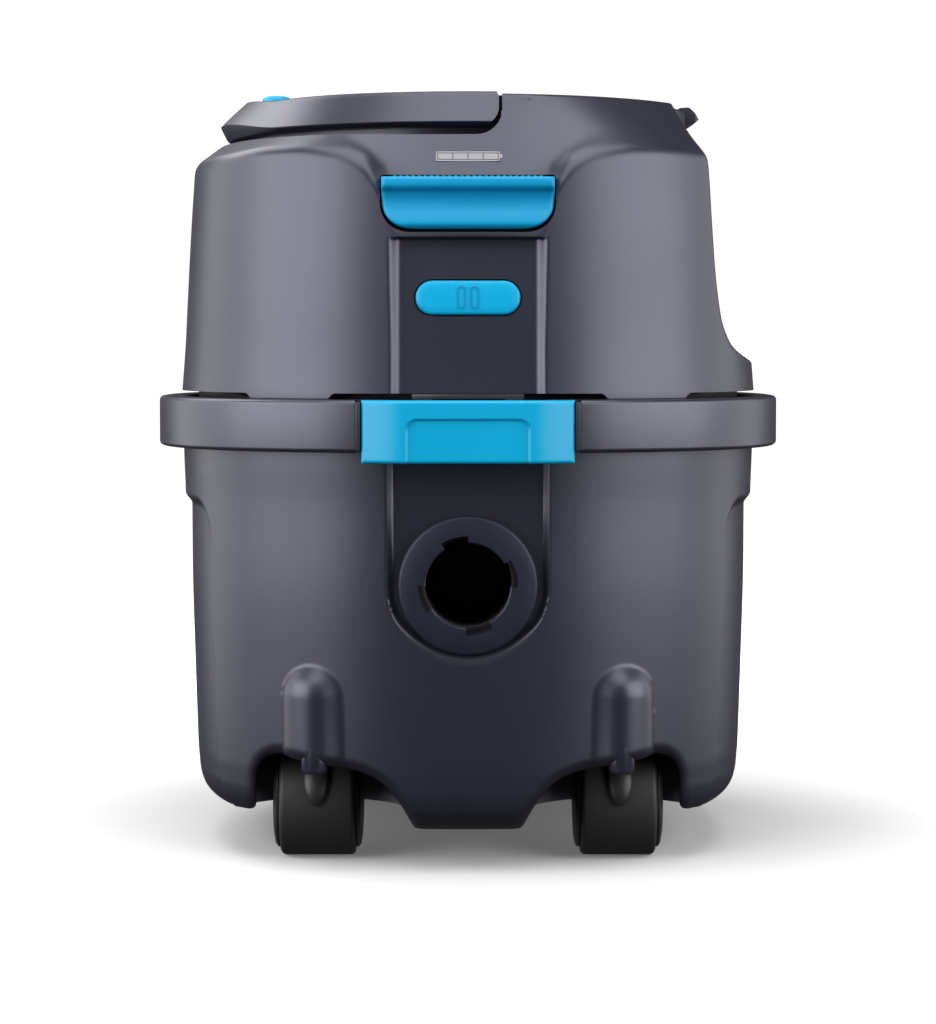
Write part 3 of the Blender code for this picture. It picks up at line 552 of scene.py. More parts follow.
def head_grid(angles, inset=0.0, rows=(60, 8, 34, 8)):
    """Rings up the wall, round the crest, along the slope and over the rim: (rows, columns, 3)."""
    side_of = table_curve(HEAD_SIDE)
    x0, y0 = plan(HEAD_WIDTH, HEAD_DEPTH, angles=angles)
    crest, broad = crest_heights(x0, y0, inset)
    bend = 3.2 + 1.5 * ramp(crest, 330, 360)

    def wall(height):
        half = side_of(height)
        x = x0 * (half - inset) / HEAD_WIDTH
        y = y0 * (half + DEPTH_OVER_WIDTH - inset) / HEAD_DEPTH
        return np.stack([x, y, height + 0 * x0], -1)

    end = rim_line(x0, y0, inset)
    foot = HEAD_LOW + lug_drop(x0, y0) if not inset else HEAD_LOW - 10 + 0 * x0
    top = wall(crest)
    slope = (end - top) / np.linalg.norm(end - top, axis=1)[:, None]
    rings = [wall(foot + (crest - bend - foot) * t) for t in np.linspace(0, 1, rows[0])]
    first, last = wall(crest - bend), top + slope * bend[:, None]
    for t in np.linspace(0, 1, rows[1] + 1)[1:]:
        rings.append((1 - t) ** 2 * first + 2 * t * (1 - t) * top + t * t * last)
    around = np.arctan2(y0, x0)
    rim = 2.2
    before = end - slope * rim
    start = last + (wall(broad) - top)
    for t in np.linspace(0, 1, rows[2] + 1)[1:]:
        softened = last + (start - last) * ramp(t, 0, 0.4)
        rings.append(softened + (before - softened) * t)
    over = end - np.stack([np.cos(around), np.sin(around), 0 * x0], -1) * rim
    for t in np.linspace(0, 1, rows[3] + 1)[1:]:
        rings.append((1 - t) ** 2 * before + 2 * t * (1 - t) * end + t * t * over)
    rings.append(np.stack([over[:, 0] * 0.6, over[:, 1] * 0.6, RIM_HEIGHT - inset + 0 * x0], -1))
    return clipped_at_flat(np.array(rings), inset)


def crest_heights(x, y, inset):
    """Height of the crest round the head, and the same after a broad blur along x."""
    crest_of = table_curve(CREST)
    spread = np.linspace(-36, 36, 37)
    weight = np.exp(-(spread / 13) ** 2 / 2)
    broad = (crest_of(np.abs(x[:, None] + spread)) * weight).sum(1) / weight.sum()
    return [np.where(y < 0, front, REAR_CREST) - inset / 2 for front in (crest_of(np.abs(x)), broad)]


def rim_line(x, y, inset):
    """Where the slope would meet the flat top, lower towards the left."""
    around = np.arctan2(y, x)
    left = np.maximum(0, -x) / 150
    radius = RIM_RADIUS - inset
    height = RIM_HEIGHT - LEFT_RIM_DROP * left**2 - inset
    return np.stack([radius * np.cos(around), radius * np.sin(around), height], -1)


def clipped_at_flat(rings, inset):
    x = rings[..., 0]
    clipped = soft_min(x, table_curve(HEAD_FLAT)(rings[..., 2]) - inset, 2)
    rings[..., 0] = np.where(x > 80, clipped, x)
    return rings


def lug_drop(x, y):
    """How far the foot of the head wall comes down: full height at the four lugs, a slot elsewhere."""
    inside = np.minimum(np.abs(x) - 67, 112 - np.abs(x))
    return np.where(np.abs(y) > 100, -2.6 * np.clip(inside / 2.5, 0, 1), 0)


def shaped_head(rings):
    """Sinks the front panel into the wall."""
    x, y, z = rings[..., 0], rings[..., 1], rings[..., 2]
    plane = PANEL_FOOT_Y + (z - HEAD_LOW) * math.tan(PANEL_LEAN)
    target = plane - np.maximum(soft_max(np.abs(x) - 34.7, 0 * x, 1.5), 0) - np.maximum(z - 317.3, 0) * 6
    sunk = soft_max(y, target, 1.2)
    rings[..., 1] = np.where((y < -120) & (np.abs(x) < 52), sunk, y)
    return rings


def head_cavity():
    """The inside of the head, kept clear of the panel, the pedal, the deck and the lid's groove."""
    rings = head_grid(np.arange(144) * math.tau / 144, WALL, (14, 3, 5, 2))
    cavity = tube("head_cavity", rings)
    ceiling, groove_roof = LEDGE_HEIGHT - WALL - 0.2, GROOVE_HEIGHT - 2.4
    beyond = [(116, groove_roof), (220, groove_roof), (220, 420), (116, 420)]
    return cut(
        cavity,
        block("panel_back", (-46, -FAR, 225), (46, -148.3, 321)),
        block("pedal_back", (-47.5, -FAR, 316), (47.5, -134.5, 354)),
        block("deck_back", (-FAR, -FAR, ceiling), (FAR, FAR, 420)),
        turned("groove_back", beyond, segments=96),
    )


def pill(half_length, half_height, middle, steps=14):
    """The outline of a bar with round ends."""
    straight = half_length - half_height
    right = arc((straight, middle), half_height, -90, 90, steps)
    left = arc((-straight, middle), half_height, 90, 270, steps)
    return [*right, *left]


def panel_lean(target):
    """Tips an upright piece back onto the head's front panel."""
    return lean(target, (0, PANEL_FOOT_Y, HEAD_LOW), PANEL_LEAN)


def head_shell(materials):
    angles = column_angles(1.0, 2.0) if FINE else column_angles(1.8, 3.5)
    shell = tube("head_body", shaped_head(head_grid(angles, rows=(80, 10, 40, 8))))
    seat = rounded((-250, LEDGE_HEIGHT), (LID_CUT, 430), (0, 11, 0, 0))
    opening = [*arc((0, 0), 114, 81.3, 278.7, 80), (16.9, -112), (16.9, 112)]
    groove_outline = rounded((-250, GROOVE_HEIGHT), (LID_CUT, 430), (0, 13, 0, 0))
    groove = prism("lid_groove", groove_outline, -FAR, FAR, "Y")
    cut(groove, rod("lid_ledge", (0, 0, 400), 119, 80, segments=160))
    well = turned("well", [(0, DECK_HEIGHT), (121, DECK_HEIGHT), (121, 400), (0, 400)], segments=160)
    cut(well, block("well_left", (-FAR, -FAR, 370), (LID_CUT - 0.2, FAR, 410)))
    notch = [(110, DECK_HEIGHT + 0.05), (150, DECK_HEIGHT + 0.05), (150, 400), (110, 400)]
    pocket = rounded((-43.6, 320.6), (43.6, 349.4), (14.5, 14.5, 2, 2), 12)
    cut(
        shell,
        head_cavity(),
        prism("lid_seat", seat, -FAR, FAR, "Y"),
        groove,
        prism("battery_opening", opening, 350, 400),
        well,
        turned("handle_notch", notch, segments=40, start=math.radians(-4), sweep=math.radians(76)),
        panel_lean(prism("button_hole", pill(26.7, 9.2, POWER_BUTTON_HEIGHT), -170, -140, "Y")),
        prism("pedal_pocket", pocket, -FAR, -138, "Y"),
        prism("exhaust_opening", rounded((-48, 285), (48, 335), (5, 5, 5, 5)), 112, 160, "X"),
        rod("lid_pin_hole", (LID_PIN[0], 0, LID_PIN[1]), 2.2, 239, "Y", 20),
        rod("handle_pin_hole", (HANDLE_PIN[0], 0, HANDLE_PIN[1]), 2.3, 246, "Y", 20),
    )
    smooth(shell)
    finish_piece(shell, "head", materials["body"], "body_plastic", "head_shell")


def battery_lid(materials):
    """The lid's rim is a sloping lip that overhangs the head, and it lifts at its left end."""
    low = LID_FOOT - 1.6
    slope = np.linspace((134.3, low + 2.4), (121.3, LID_TOP), 12).tolist()
    ridge = [(120.6, 391.9), (119.4, 392.4), (116.4, 392.5), (114.6, 392), (113.2, 391.2), (111, LID_TOP)]
    lip = [(119.8, LID_FOOT), (120.6, low), (129.6, low), (131, low + 0.3), (134, low + 1.9), *slope]
    profile = [(0, 388), (110.3, 388), (110.3, LID_FOOT), *lip, *ridge, (0, LID_TOP)]
    lid = turned("lid_cover", profile, segments=240)
    shape_lid_lip(lid, low)
    lower = arc((LID_EDGE - 10, low + 9.95), 10, 270, 360, 12)
    upper = arc((LID_EDGE - 1.5, 390), 1.5, 0, 60, 4)
    side_view = [(-250, low - 0.05), *lower, *upper, (LID_EDGE - 1.5, 430), (-250, 430)]
    boolean(lid, "INTERSECT", [prism("lid_outline", side_view, -FAR, FAR, "Y")])
    barrel = [(9.3, 389), *arc(LID_PIN, 3, 180, 360, 10), (LID_EDGE, 389)]
    # two webs close the slit between the lid and the head, clear of the lid's swing
    web = block("slit_web", (LID_EDGE - 3, -119.6, 376.4), (17, -114.5, 390.8))
    web_top = block("slit_web_top", (LID_EDGE - 3, -119.4, 383.2), (18.2, -114.7, 390.7))
    join(lid, prism("barrel", barrel, -111, 111, "Y"), web, web_top)
    button_bore = rod("button_bore", (LID_BUTTON_X, 0, 390), 8, 60, segments=64)
    cut(lid, rod("lid_bore", (LID_PIN[0], 16, LID_PIN[1]), 1.9, 270, "Y", 24), button_bore)
    smooth(lid, 30)
    finish_piece(lid, "battery_lid", materials["body"], "body_plastic", "battery_lid")
    dome = [(0, 388.5), (6.4, 388.5), (7.6, 389.5), (7.6, 398.4), (7, 399.6), (5.4, 400.1), (0, 400.4)]
    button = turned("lid_button", dome, centre=(LID_BUTTON_X, 0, 0), segments=72)
    smooth(button, 50)
    finish_piece(button, "lid_release_button", materials["blue"], "blue_plastic", "lid_release_button")


def shape_lid_lip(lid, low):
    """Steepens the lip's face towards the front, and lifts the lip at its left end."""
    for vert in lid.data.vertices:
        radius, height = vert.co.xy.length / MM, vert.co.z / MM
        up_face = min(1, max(0, (height - low - 2.4) / (388.6 - low)))
        steeper = 5 * up_face * float(ramp(radius, 112, 120) * ramp(vert.co.x / MM, -118, -60))
        vert.co.xy *= 1 + steeper / max(radius, 1)
        on_lip = min(1, max(0, (height - low) / 2))
        above_foot = on_lip if radius > 119 else float(ramp(height, LID_FOOT, LID_FOOT + 2))
        vert.co.z += 5.4 * float(ramp(-vert.co.x / MM, 98, 134)) * above_foot * MM


def carry_handle(materials):
    """A bar that lies flush round the rim, with a finger lip at its right."""
    end = math.degrees(math.acos(HANDLE_PIN[0] / 111)) + 2
    bar = rounded((104.5, 382.4), (118, 390.8), (1, 1, 2, 2), 4)
    handle = turned("handle_bar", bar, segments=150, start=math.radians(-end), sweep=math.radians(2 * end))
    under = flowing([(120.4, 383.4), (123.6, 385.6), (125.8, 387.6)], 5).tolist()
    over = flowing([(125.4, 388.4), (123.2, 391.2), (120.6, 393.6)], 5).tolist()
    grip = [(112, 383), (119.3, 383), *under, *over, (119.6, 393.9), (115, 393.6), (112, 390.2)]
    lip = turned("grip_lip", grip, segments=80, start=math.radians(-3), sweep=math.radians(73))
    cut(lip, prism("grip_end", [(114, -30), (140, -30), (140, 12), (131, 12)], 370, 400))
    join(handle, lip)
    cut(
        handle,
        block("handle_ends", (-50, -FAR, 370), (27.2, FAR, 400)),
        rod("handle_bore", (HANDLE_PIN[0], 0, HANDLE_PIN[1]), 2.3, 260, "Y", 24),
    )
    smooth(handle, 30)
    finish_piece(handle, "carry_handle", materials["body"], "body_plastic", "carry_handle")


def foot_pedal(materials):
    low, high, half, back_y = 322.4, 347.8, 42.8, -141.0
    corner_radius, edge_radius = 14, 2.2
    scooped = [(-155.4, low), (-157.3, low + 2), (-156.6, low + 5.5), (-154.6, low + 10), (-153.8, low + 14)]
    lip = [(-155.2, low + 18), (-158, high - 6), (-159.5, high - 4.6), (-159.6, high - 1.2), (-158.6, high)]
    face = flowing([*scooped, *lip], 60)
    across = np.linspace(-1, 1, 121)
    front, back = [], []
    for y, z in face:
        below = max(0, corner_radius - (z - low))
        wide = half - (corner_radius - math.sqrt(max(corner_radius**2 - below**2, 0)))
        edge = np.clip((np.abs(across) * wide - wide + edge_radius) / edge_radius, 0, 1)
        roll = edge_radius * (1 - np.sqrt(1 - np.minimum(edge, 0.999) ** 2))
        front.append(np.stack([across * wide, y + roll, np.full_like(across, z)], -1))
        back.append(np.stack([across * wide, np.full_like(across, back_y), np.full_like(across, z)], -1))
    pedal = slab("pedal_pad", front, back)
    cut(pedal, rod("pedal_bore", (0, -143.5, 335), 1.9, 120, "X", 24))
    smooth(pedal, 45)
    # the pad takes the darker blue, painted shade on its face; its ribs keep the plain blue plastic
    finish_piece(pedal, "foot_pedal", materials["pedal"], "blue_plastic", "foot_pedal")
    for k in range(25):
        x = -36 + 3 * k
        rib = rounded((x - 0.8, -157.6), (x + 0.8, -149.5), (0.8,) * 4, 4)
        rib = prism(f"pedal_rib_{k}", rib, high - 0.2, high + 0.55)
        smooth(round_edges(clean(rib), 0.3, 2), 50)
        finish_piece(rib, "foot_pedal", materials["blue"], "blue_plastic")


def power_button(materials):
    front = PANEL_FOOT_Y - 1.6
    rings = []
    edge = [(0, 8.1), (0, 1.6), (0.15, 0.9), (0.6, 0.3), (1.3, 0), (4, -0.15), (7, -0.2)]
    for offset, behind in edge:
        y = front + behind
        outline = np.array(pill(26 - offset, 8.5 - offset, POWER_BUTTON_HEIGHT, 20))
        rings.append(np.stack([outline[:, 0], np.full(len(outline), y), outline[:, 1]], -1))
    button = panel_lean(clean(tube("button_cap", rings)))
    smooth(button, 50)
    finish_piece(button, "power_button", materials["blue"], "blue_plastic", "power_button")
    for k, x in enumerate((-3.3, 3.3)):
        outer = np.array(arc((0, 3.4), 2.2, 0, 180, 12) + arc((0, -3.4), 2.2, 180, 360, 12))
        inner = outer * np.array([0.62, 0.85])
        rings = []
        foot, top = front - 0.1, front - 0.42
        for loop, y in ((outer, foot), (outer, top), (inner, top), (inner, foot)):
            across, up = loop[:, 0] + x, loop[:, 1] + POWER_BUTTON_HEIGHT
            rings.append(np.stack([across, np.full(len(loop), y), up], -1))
        mark = panel_lean(clean(hoop(f"button_mark_{k}", rings)))
        smooth(mark, 40)
        finish_piece(mark, "power_button", materials["blue_deep"], "blue_plastic")


def battery_gauge(materials):
    """A plain battery symbol of four cells, printed proud of the slope."""
    half, tall, line, gap = 15.9, 2.6, 0.55, 0.45
    bars = [
        (-half, half, tall - line, tall), (-half, half, -tall, -tall + line),
        (-half, -half + line, -tall, tall), (half - line, half, -tall, tall),
        (half + 0.2, half + 1.1, -1.1, 1.1),
    ]
    cell = (2 * half - 2 * line - 5 * gap) / 4
    for k in range(4):
        start = -half + line + gap + k * (cell + gap)
        bars.append((start, start + cell, -tall + line + gap, tall - line - gap))
    height = 358.8
    foot_y = -float(table_curve(HEAD_SIDE)(CREST[0][1])) - DEPTH_OVER_WIDTH
    slope_lean = math.atan2(-foot_y - RIM_RADIUS, RIM_HEIGHT - CREST[0][1])
    centre = Vector((0, -RIM_RADIUS - (RIM_HEIGHT - height) * math.tan(slope_lean), height))
    for k, (x0, x1, z0, z1) in enumerate(bars):
        bar = lean(block(f"gauge_mark_{k}", (x0, -0.2, z0), (x1, 0.6, z1)), (0, 0, 0), slope_lean)
        bar.data.transform(Matrix.Translation(centre * MM))
        material = materials["mark" if k < 5 else "cell"]
        finish_piece(clean(bar), "head", material, "gauge_grey", *(["battery_gauge"] if k == 0 else []))


def front_latch(materials):
    low, high, half = 207, RING_HIGH, 52.3
    left = [(-half, -173.6), (-48, -175.6), (-41, -178.6), (-34, -180.6), (-27, -181)]
    right = [(-x, y) for x, y in reversed(left)]
    line = flowing([*left, *right], 141)
    heights = np.linspace(low, high, 71)
    x, z = np.meshgrid(line[:, 0], heights)
    y = np.tile(line[:, 1], (len(heights), 1))
    inner = box_distance(x, z, (0, 200), (30.6, 29), 6)
    y = y + 1.4 * ramp(inner, 0.3, -1.1)
    edge = 1.8
    near = np.minimum(np.minimum(half - np.abs(x), z - low), high - z)
    y = y + edge - np.sqrt(np.maximum(edge**2 - np.clip(edge - near, 0, edge) ** 2, 0))
    back = np.stack([x, np.minimum(np.tile(line[:, 1], (len(heights), 1)) + 5.2, -169.4), z], -1)
    latch = slab("latch_plate", np.stack([x, y, z], -1), back)
    ear = [(-176.2, 228), *arc((-168.5, 233), 3.4, -90, 90, 12), (-176.2, 236.6)]
    ears = [prism(f"ear_{k}", ear, start, start + 5, "X") for k, start in enumerate((-35, 30))]
    join(latch, *ears, block("claw", (-12, -176.2, 213), (12, -162.6, 218)))
    cut(latch, rod("latch_bore", (0, -168.5, 233), 1.8, 100, "X", 24))
    smooth(latch, 40)
    finish_piece(latch, "front_latch", materials["blue"], "blue_plastic", "front_latch")


# ------------------------------ casters

def caster_nose(axle):
    """The fork's pointed spine, which follows the tread in front of the wheel."""
    near, far, half = WHEEL_RADIUS + 0.9, WHEEL_RADIUS + 4.2, 6.5
    rings = []
    for degrees in (*np.linspace(95, 30, 10), *np.linspace(27, 3, 13), 1.5, 0.6):
        angle = math.radians(degrees)
        width = half * math.sqrt(1 - (1 - min(1, degrees / 27)) ** 2)
        depth = near + (far - near) * (0.2 + 0.8 * width / half)
        out = np.array([0, -math.cos(angle), math.sin(angle)])
        ring = [(-width, near), (width, near)]
        crown = near + 0.6
        for a in np.radians(np.linspace(0, 180, 13)):
            ring.append((width * math.cos(a), crown + (depth - near - 0.6) * math.sin(a)))
        rings.append([axle + out * reach + np.array([x, 0, 0]) for x, reach in ring])
    return tube("nose", rings)


def caster(name, left, rear, materials):
    axle = np.array([CASTER_X, -CASTER_Y - TRAIL, WHEEL_RADIUS])
    outline = rounded((CASTER_X - 23.2, axle[1] - 14), (CASTER_X + 23.2, -CASTER_Y + 11), (6, 6, 8, 8), 6)
    fork = prism(f"fork_{name}", outline, 61.2, 65.6)
    parts = [rod("stem", (CASTER_X, -CASTER_Y, (STEM_TOP + 63) / 2), 5, STEM_TOP - 63, segments=40)]
    for sign in (-1, 1):
        inner, outer = 19.9 * sign, 23.2 * sign
        dome = [
            (0, inner), (26, inner), (26, inner + 0.9 * sign), (24.6, inner + 2.1 * sign),
            (21, outer - 0.5 * sign), (14, outer - 0.1 * sign), (0, outer),
        ]
        parts.append(turned("cheek", dome, "X", axle, 96))
        arm = [(axle[1] - 12, 40), (axle[1] + 12, 40), (axle[1] + 12, 63), (axle[1] - 12, 63)]
        low, high = sorted((CASTER_X + inner, CASTER_X + outer - 0.7 * sign))
        parts.append(prism("arm", arm, low, high, "X"))
    parts.append(caster_nose(axle))
    join(fork, *parts)
    cut(fork, rod("bore", axle, 3.3, 80, "X", 32))
    smooth(mirror(fork, left, rear), 35)
    finish_piece(fork, f"caster_{name}", materials["caster"], "caster_black", f"caster_fork_{name}")
    wheel = turned(f"wheel_{name}", wheel_profile(WHEEL_RADIUS, WHEEL_HALF), "X", axle, 144)
    smooth(mirror(wheel, left, rear), 40)
    finish_piece(wheel, f"wheel_{name}", materials["rubber"], "wheel_rubber", f"caster_wheel_{name}")


def wheel_profile(radius, half):
    one_side = [(3.3, -half + 1), (24, -half + 1), (25.5, -half), *shoulder(radius, -half, 2.6)]
    other_side = [*reversed(shoulder(radius, half, -2.6)), (25.5, half), (24, half - 1), (3.3, half - 1)]
    return [*one_side, *other_side]


def shoulder(radius, end, corner):
    """A rounded tread shoulder, as (radius, distance along the axle)."""
    angles = np.linspace(0, math.pi / 2, 7)
    size = abs(corner)
    return [(radius - size + size * math.sin(a), end + corner * (1 - math.cos(a))) for a in angles]


# ------------------------------ soft pieces inside

def dust_bag(materials):
    """A part-filled fleece bag: crowned, puckered, with a welded seam round its middle."""
    low, high = (np.array(corner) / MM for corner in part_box("dust_bag"))
    middle, half = (low + high) / 2, (high - low) / 2
    up = np.linspace(-math.pi / 2, math.pi / 2, 60)
    rings = []
    for tilt in up:
        c, s = math.cos(tilt), math.sin(tilt)
        shrink, height = abs(c) ** 0.45, half[2] * math.copysign(abs(s) ** 0.7, s)
        angles = np.arange(220) * math.tau / 220
        x, y = plan(half[0] * shrink, half[1] * shrink, 3.6, angles=angles)
        ripple = 1 - 0.022 * (1 + np.sin(9 * angles + 2.2 * s)) - 0.012 * (1 + np.sin(23 * angles - 3 * s))
        pucker = 1 - 0.05 * math.exp(-(s / 0.12) ** 2)
        lift = 2.2 * np.sin(5 * angles + 1.3) * np.abs(s)
        x, y = middle[0] + x * ripple * pucker, middle[1] + y * ripple * pucker
        rings.append(np.stack([x, y, middle[2] + height * 0.95 + lift * 0.8], -1))
    bag = clean(tube("bag_body", rings))
    smooth(bag, 60)
    finish_piece(bag, "tub", materials["fleece"], "bag_paper", "dust_bag")


def motor_filter(materials):
    """A pleated filter cup."""
    angles = np.arange(360) * math.tau / 360
    pleat = 0.5 - 0.5 * np.cos(60 * angles)
    rings = []
    outside = [(3, 205.3), (52, 205.3), (56.5, 206.6), (59.7, 211), (59.7, 240.7)]
    inside = [(56.4, 240.7), (56.4, 212), (52, 208.4), (3, 208.4)]
    for radius, height in (*outside, *inside):
        deep = 1.6 if 205.5 < height < 240 and radius > 55 else 0
        reach = radius - deep * pleat
        x, y = reach * np.cos(angles), reach * np.sin(angles)
        rings.append(np.stack([x, y, np.full_like(angles, height)], -1))
    cup = clean(hoop("filter_cup", rings))
    smooth(cup, 50)
    finish_piece(cup, "head", materials["filter"], "filter_fabric", "motor_filter")


# ------------------------------ materials

def shader_of(material):
    return material.node_tree.nodes["Principled BSDF"]


def plastic(
    name, colour, roughness=0.42, grain=1400, depth=0.02, tint=0.06,
    specular=0.5, metallic=0.0, sheen=(1, 1, 1),
):
    """Moulded plastic: fine spark-eroded grain, and slight unevenness of tone and gloss."""
    made = bpy.data.materials.new(name)
    made.use_nodes = True
    tree, shader = made.node_tree, shader_of(made)
    shader.inputs["Metallic"].default_value = metallic
    shader.inputs["Specular IOR Level"].default_value = specular
    shader.inputs["Specular Tint"].default_value = (*sheen, 1)
    place = tree.nodes.new("ShaderNodeTexCoord").outputs["Object"]
    fine, broad = noise(tree, place, grain, 3), noise(tree, place, 14, 4)
    shares = math_node(tree, "MULTIPLY", fine, 0.45), math_node(tree, "MULTIPLY", broad, 0.55)
    mixed = math_node(tree, "ADD", *shares)
    tree.links.new(uneven_colour(tree, colour, tint, mixed), shader.inputs["Base Color"])
    gloss = tree.nodes.new("ShaderNodeMapRange")
    gloss.inputs["To Min"].default_value = roughness - 0.05
    gloss.inputs["To Max"].default_value = roughness + 0.05
    tree.links.new(broad, gloss.inputs["Value"])
    tree.links.new(gloss.outputs[0], shader.inputs["Roughness"])
    bump = tree.nodes.new("ShaderNodeBump")
    bump.inputs["Distance"].default_value = depth * MM
    tree.links.new(fine, bump.inputs["Height"])
    tree.links.new(bump.outputs[0], shader.inputs["Normal"])
    return made


def uneven_colour(tree, colour, tint, source):
    """The colour, darker and lighter by the share tint as the source runs from 0.3 to 0.7."""
    colours = tree.nodes.new("ShaderNodeValToRGB")
    for element, position, factor in zip(colours.color_ramp.elements, (0.3, 0.7), (1 - tint, 1 + tint)):
        element.position = position
        element.color = (*[min(1, c * factor) for c in colour], 1)
    tree.links.new(source, colours.inputs[0])
    return colours.outputs[0]


def math_node(tree, operation, first, second):
    """Two sockets, or a socket and a number, through one maths node."""
    node = tree.nodes.new("ShaderNodeMath")
    node.operation = operation
    tree.links.new(first, node.inputs[0])
    if isinstance(second, float):
        node.inputs[1].default_value = second
    else:
        tree.links.new(second, node.inputs[1])
    return node.outputs[0]


def noise(tree, place, scale, detail):
    node = tree.nodes.new("ShaderNodeTexNoise")
    node.inputs["Scale"].default_value, node.inputs["Detail"].default_value = scale, detail
    tree.links.new(place, node.inputs["Vector"])
    return node.outputs["Fac"]


def make_materials():
    return {
        "body": plastic(
            "body_plastic", (0.0105, 0.0113, 0.0205), 0.38, depth=0.03, specular=0.95, sheen=SHEEN
        ),
        "ring": plastic("ring_plastic", (0.015, 0.016, 0.026), 0.35, depth=0.015, specular=1.0, sheen=SHEEN),
        "recess": plastic("recess_plastic", (0.012, 0.013, 0.024), 0.42, depth=0.03, sheen=SHEEN),
        "dark": plastic("dark_plastic", (0.02, 0.021, 0.028), 0.45),
        "blue": plastic("blue_plastic", (0.0004, 0.335, 0.59), 0.36, depth=0.012, tint=0.03, specular=0.35),
        # a darker copy of the blue plastic: painted shade on the pedal's face
        "pedal": plastic("pedal_blue_painted_shade", (0.0004, 0.26, 0.50), 0.45, depth=0.012, tint=0.03, specular=0.3),
        "blue_deep": plastic("blue_mark_plastic", (0.002, 0.22, 0.42), 0.4, tint=0.03),
        "caster": plastic("caster_plastic", (0.022, 0.0215, 0.021), 0.42),
        "rubber": plastic("wheel_rubber", (0.024, 0.0225, 0.0215), 0.55, grain=900, depth=0.03),
        "seal": plastic("seal_rubber", (0.012, 0.012, 0.012), 0.7),
        "steel": plastic("turned_steel", (0.56, 0.57, 0.6), 0.3, grain=600, depth=0.01, metallic=1.0),
        "metal": plastic("cast_metal", (0.42, 0.43, 0.45), 0.4, grain=500, depth=0.04, metallic=1.0),
        "fleece": plastic("bag_fleece", (0.62, 0.55, 0.43), 0.9, grain=2600, depth=0.12, tint=0.12),
        "filter": plastic("filter_fleece", (0.74, 0.75, 0.75), 0.95, grain=2200, depth=0.12, tint=0.08),
        "board": plastic("board_lacquer", (0.01, 0.11, 0.04), 0.4, tint=0.15),
        "mark": plastic("gauge_print", (0.32, 0.31, 0.33), 0.5, tint=0.03),
        "cell": plastic("gauge_cell_print", (0.27, 0.262, 0.28), 0.5, tint=0.03),
    }


def finish_piece(piece, body, material, slot, *nodes):
    """Gives a piece its material, the body it rides on and the CAD nodes it replaces. The slot argument is
    not used.
    """
    piece.data.materials.clear()
    piece.data.materials.append(material)
    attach(piece, body)
    if nodes:
        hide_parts(*nodes)
    return piece


SLOT_MATERIAL = {
    "body_plastic": "body", "dark_plastic": "dark", "blue_plastic": "blue", "caster_black": "caster",
    "wheel_rubber": "rubber", "seal_rubber": "seal", "steel": "steel", "motor_metal": "metal",
    "bag_paper": "fleece", "filter_fabric": "filter", "board_green": "board", "gauge_grey": "mark",
}


def dress_cad_nodes(frame, materials):
    """Carried-over CAD nodes get their real finish and slightly rounded edges."""
    slots = {part["node"]: part["material_slot"] for part in frame["record"]["subparts"]}
    for name, node in frame["nodes"].items():
        if node.hide_render:
            continue
        node.data.materials.clear()
        node.data.materials.append(materials[SLOT_MATERIAL[slots[name]]])
        smooth_node(node)


def smooth_node(node):
    """Rounds the edges of a faceted CAD solid."""
    for polygon in node.data.polygons:
        polygon.use_smooth = True
    weld = node.modifiers.new("weld", "WELD")
    weld.merge_threshold = 1e-6
    round_edges(node, 0.25, 2, 40)


# ------------------------------ studio

def studio():
    """White backdrop, white floor and soft lamps; the world lights the object only faintly."""
    world = bpy.data.worlds.new("studio")
    bpy.context.scene.world = world
    world.use_nodes = True
    tree = world.node_tree
    back = tree.nodes["Background"]
    back.inputs["Color"].default_value = (1, 1, 1, 1)
    path = tree.nodes.new("ShaderNodeLightPath")
    level = tree.nodes.new("ShaderNodeMapRange")
    level.inputs["To Min"].default_value, level.inputs["To Max"].default_value = AMBIENT, BACKDROP
    tree.links.new(path.outputs["Is Camera Ray"], level.inputs["Value"])
    tree.links.new(level.outputs[0], back.inputs["Strength"])
    floor = turned("studio_floor", [(0, -10), (6000, -10), (6000, 0), (0, 0)], segments=96)
    floor.data.materials.append(floor_material())
    floor.visible_glossy = floor.visible_diffuse = False
    for name, place, size, power in LAMPS:
        lamp(name, place, size, power)


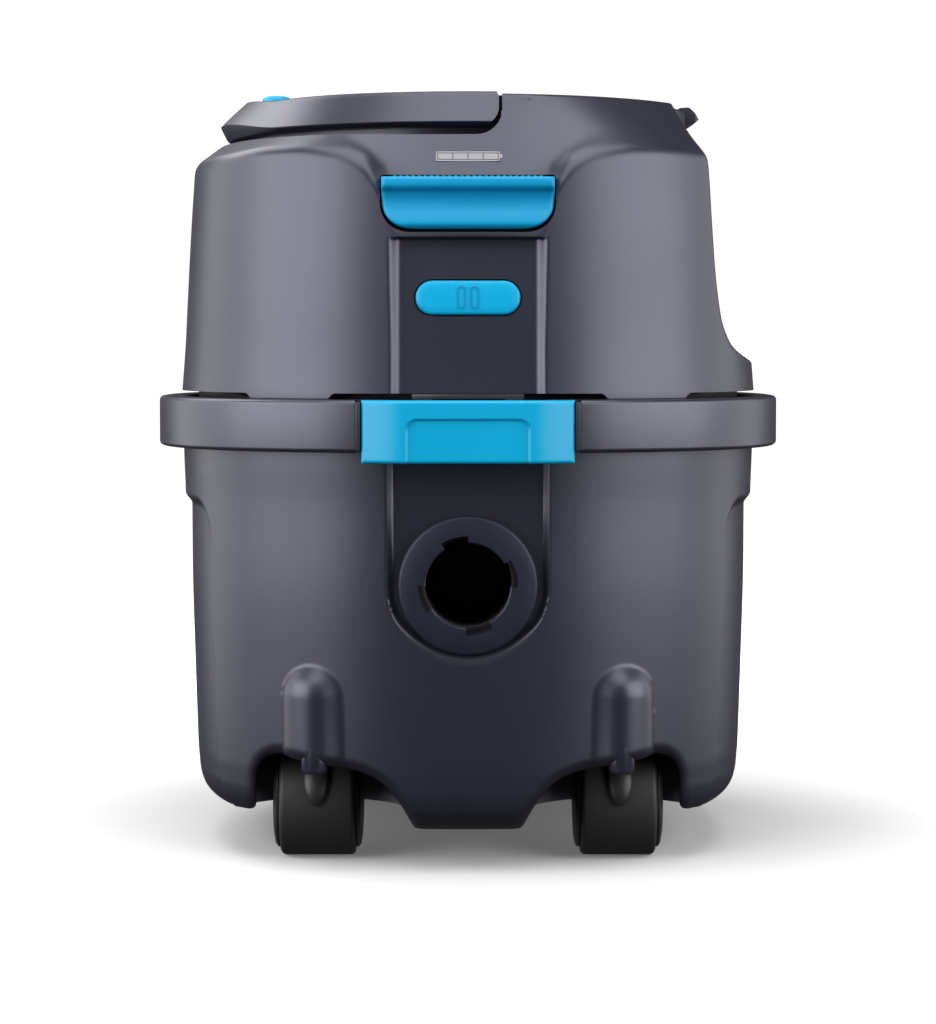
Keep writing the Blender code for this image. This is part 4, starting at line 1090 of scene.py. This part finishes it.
def floor_material():
    """Matt white, and lit from within away from the object, as a seamless sweep looks."""
    made = bpy.data.materials.new("studio_white")
    made.use_nodes = True
    tree, shader = made.node_tree, shader_of(made)
    shader.inputs["Base Color"].default_value = (0.64, 0.64, 0.64, 1)
    shader.inputs["Roughness"].default_value = 0.85
    shader.inputs["Specular IOR Level"].default_value = 0.1
    shader.inputs["Emission Color"].default_value = (1, 1, 1, 1)
    place = tree.nodes.new("ShaderNodeTexCoord")
    reach = tree.nodes.new("ShaderNodeVectorMath")
    reach.operation = "LENGTH"
    glow = tree.nodes.new("ShaderNodeMapRange")
    glow.interpolation_type = "SMOOTHSTEP"
    for socket, value in zip(("From Min", "From Max", "To Min", "To Max"), (*FLOOR_REACH, *FLOOR_GLOW)):
        glow.inputs[socket].default_value = value
    tree.links.new(place.outputs["Object"], reach.inputs[0])
    tree.links.new(reach.outputs["Value"], glow.inputs["Value"])
    tree.links.new(glow.outputs[0], shader.inputs["Emission Strength"])
    return made


def lamp(name, place, size, power):
    """An area lamp that points at the middle of the object."""
    data = bpy.data.lights.new(name, "AREA")
    data.shape, data.size, data.size_y, data.energy = "RECTANGLE", *size, power
    made = new_object(name, data)
    made.location = place
    made.rotation_euler = (Vector(LAMP_TARGET) - Vector(place)).to_track_quat("-Z", "Y").to_euler()


def camera():
    data = bpy.data.cameras.new("camera")
    data.lens, data.sensor_width = LENS, SENSOR
    made = new_object("camera", data)
    made.location = CAMERA_PLACE
    made.rotation_euler = (math.radians(90 - CAMERA_DIP), 0, 0)
    bpy.context.scene.camera = made
    bpy.context.scene.view_settings.view_transform = "Standard"


def corners(box):
    """A box's two corners as plain lists."""
    return [[round(float(value), 6) for value in corner] for corner in box]


def main():
    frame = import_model()
    camera()
    studio()
    materials = make_materials()
    tub_shell(materials)
    bumper_ring(materials)
    inlet_collar(materials)
    head_shell(materials)
    battery_lid(materials)
    carry_handle(materials)
    foot_pedal(materials)
    power_button(materials)
    battery_gauge(materials)
    front_latch(materials)
    for name, left, rear in CORNERS:
        caster(name, left, rear, materials)
    dust_bag(materials)
    motor_filter(materials)
    dress_cad_nodes(frame, materials)


main()
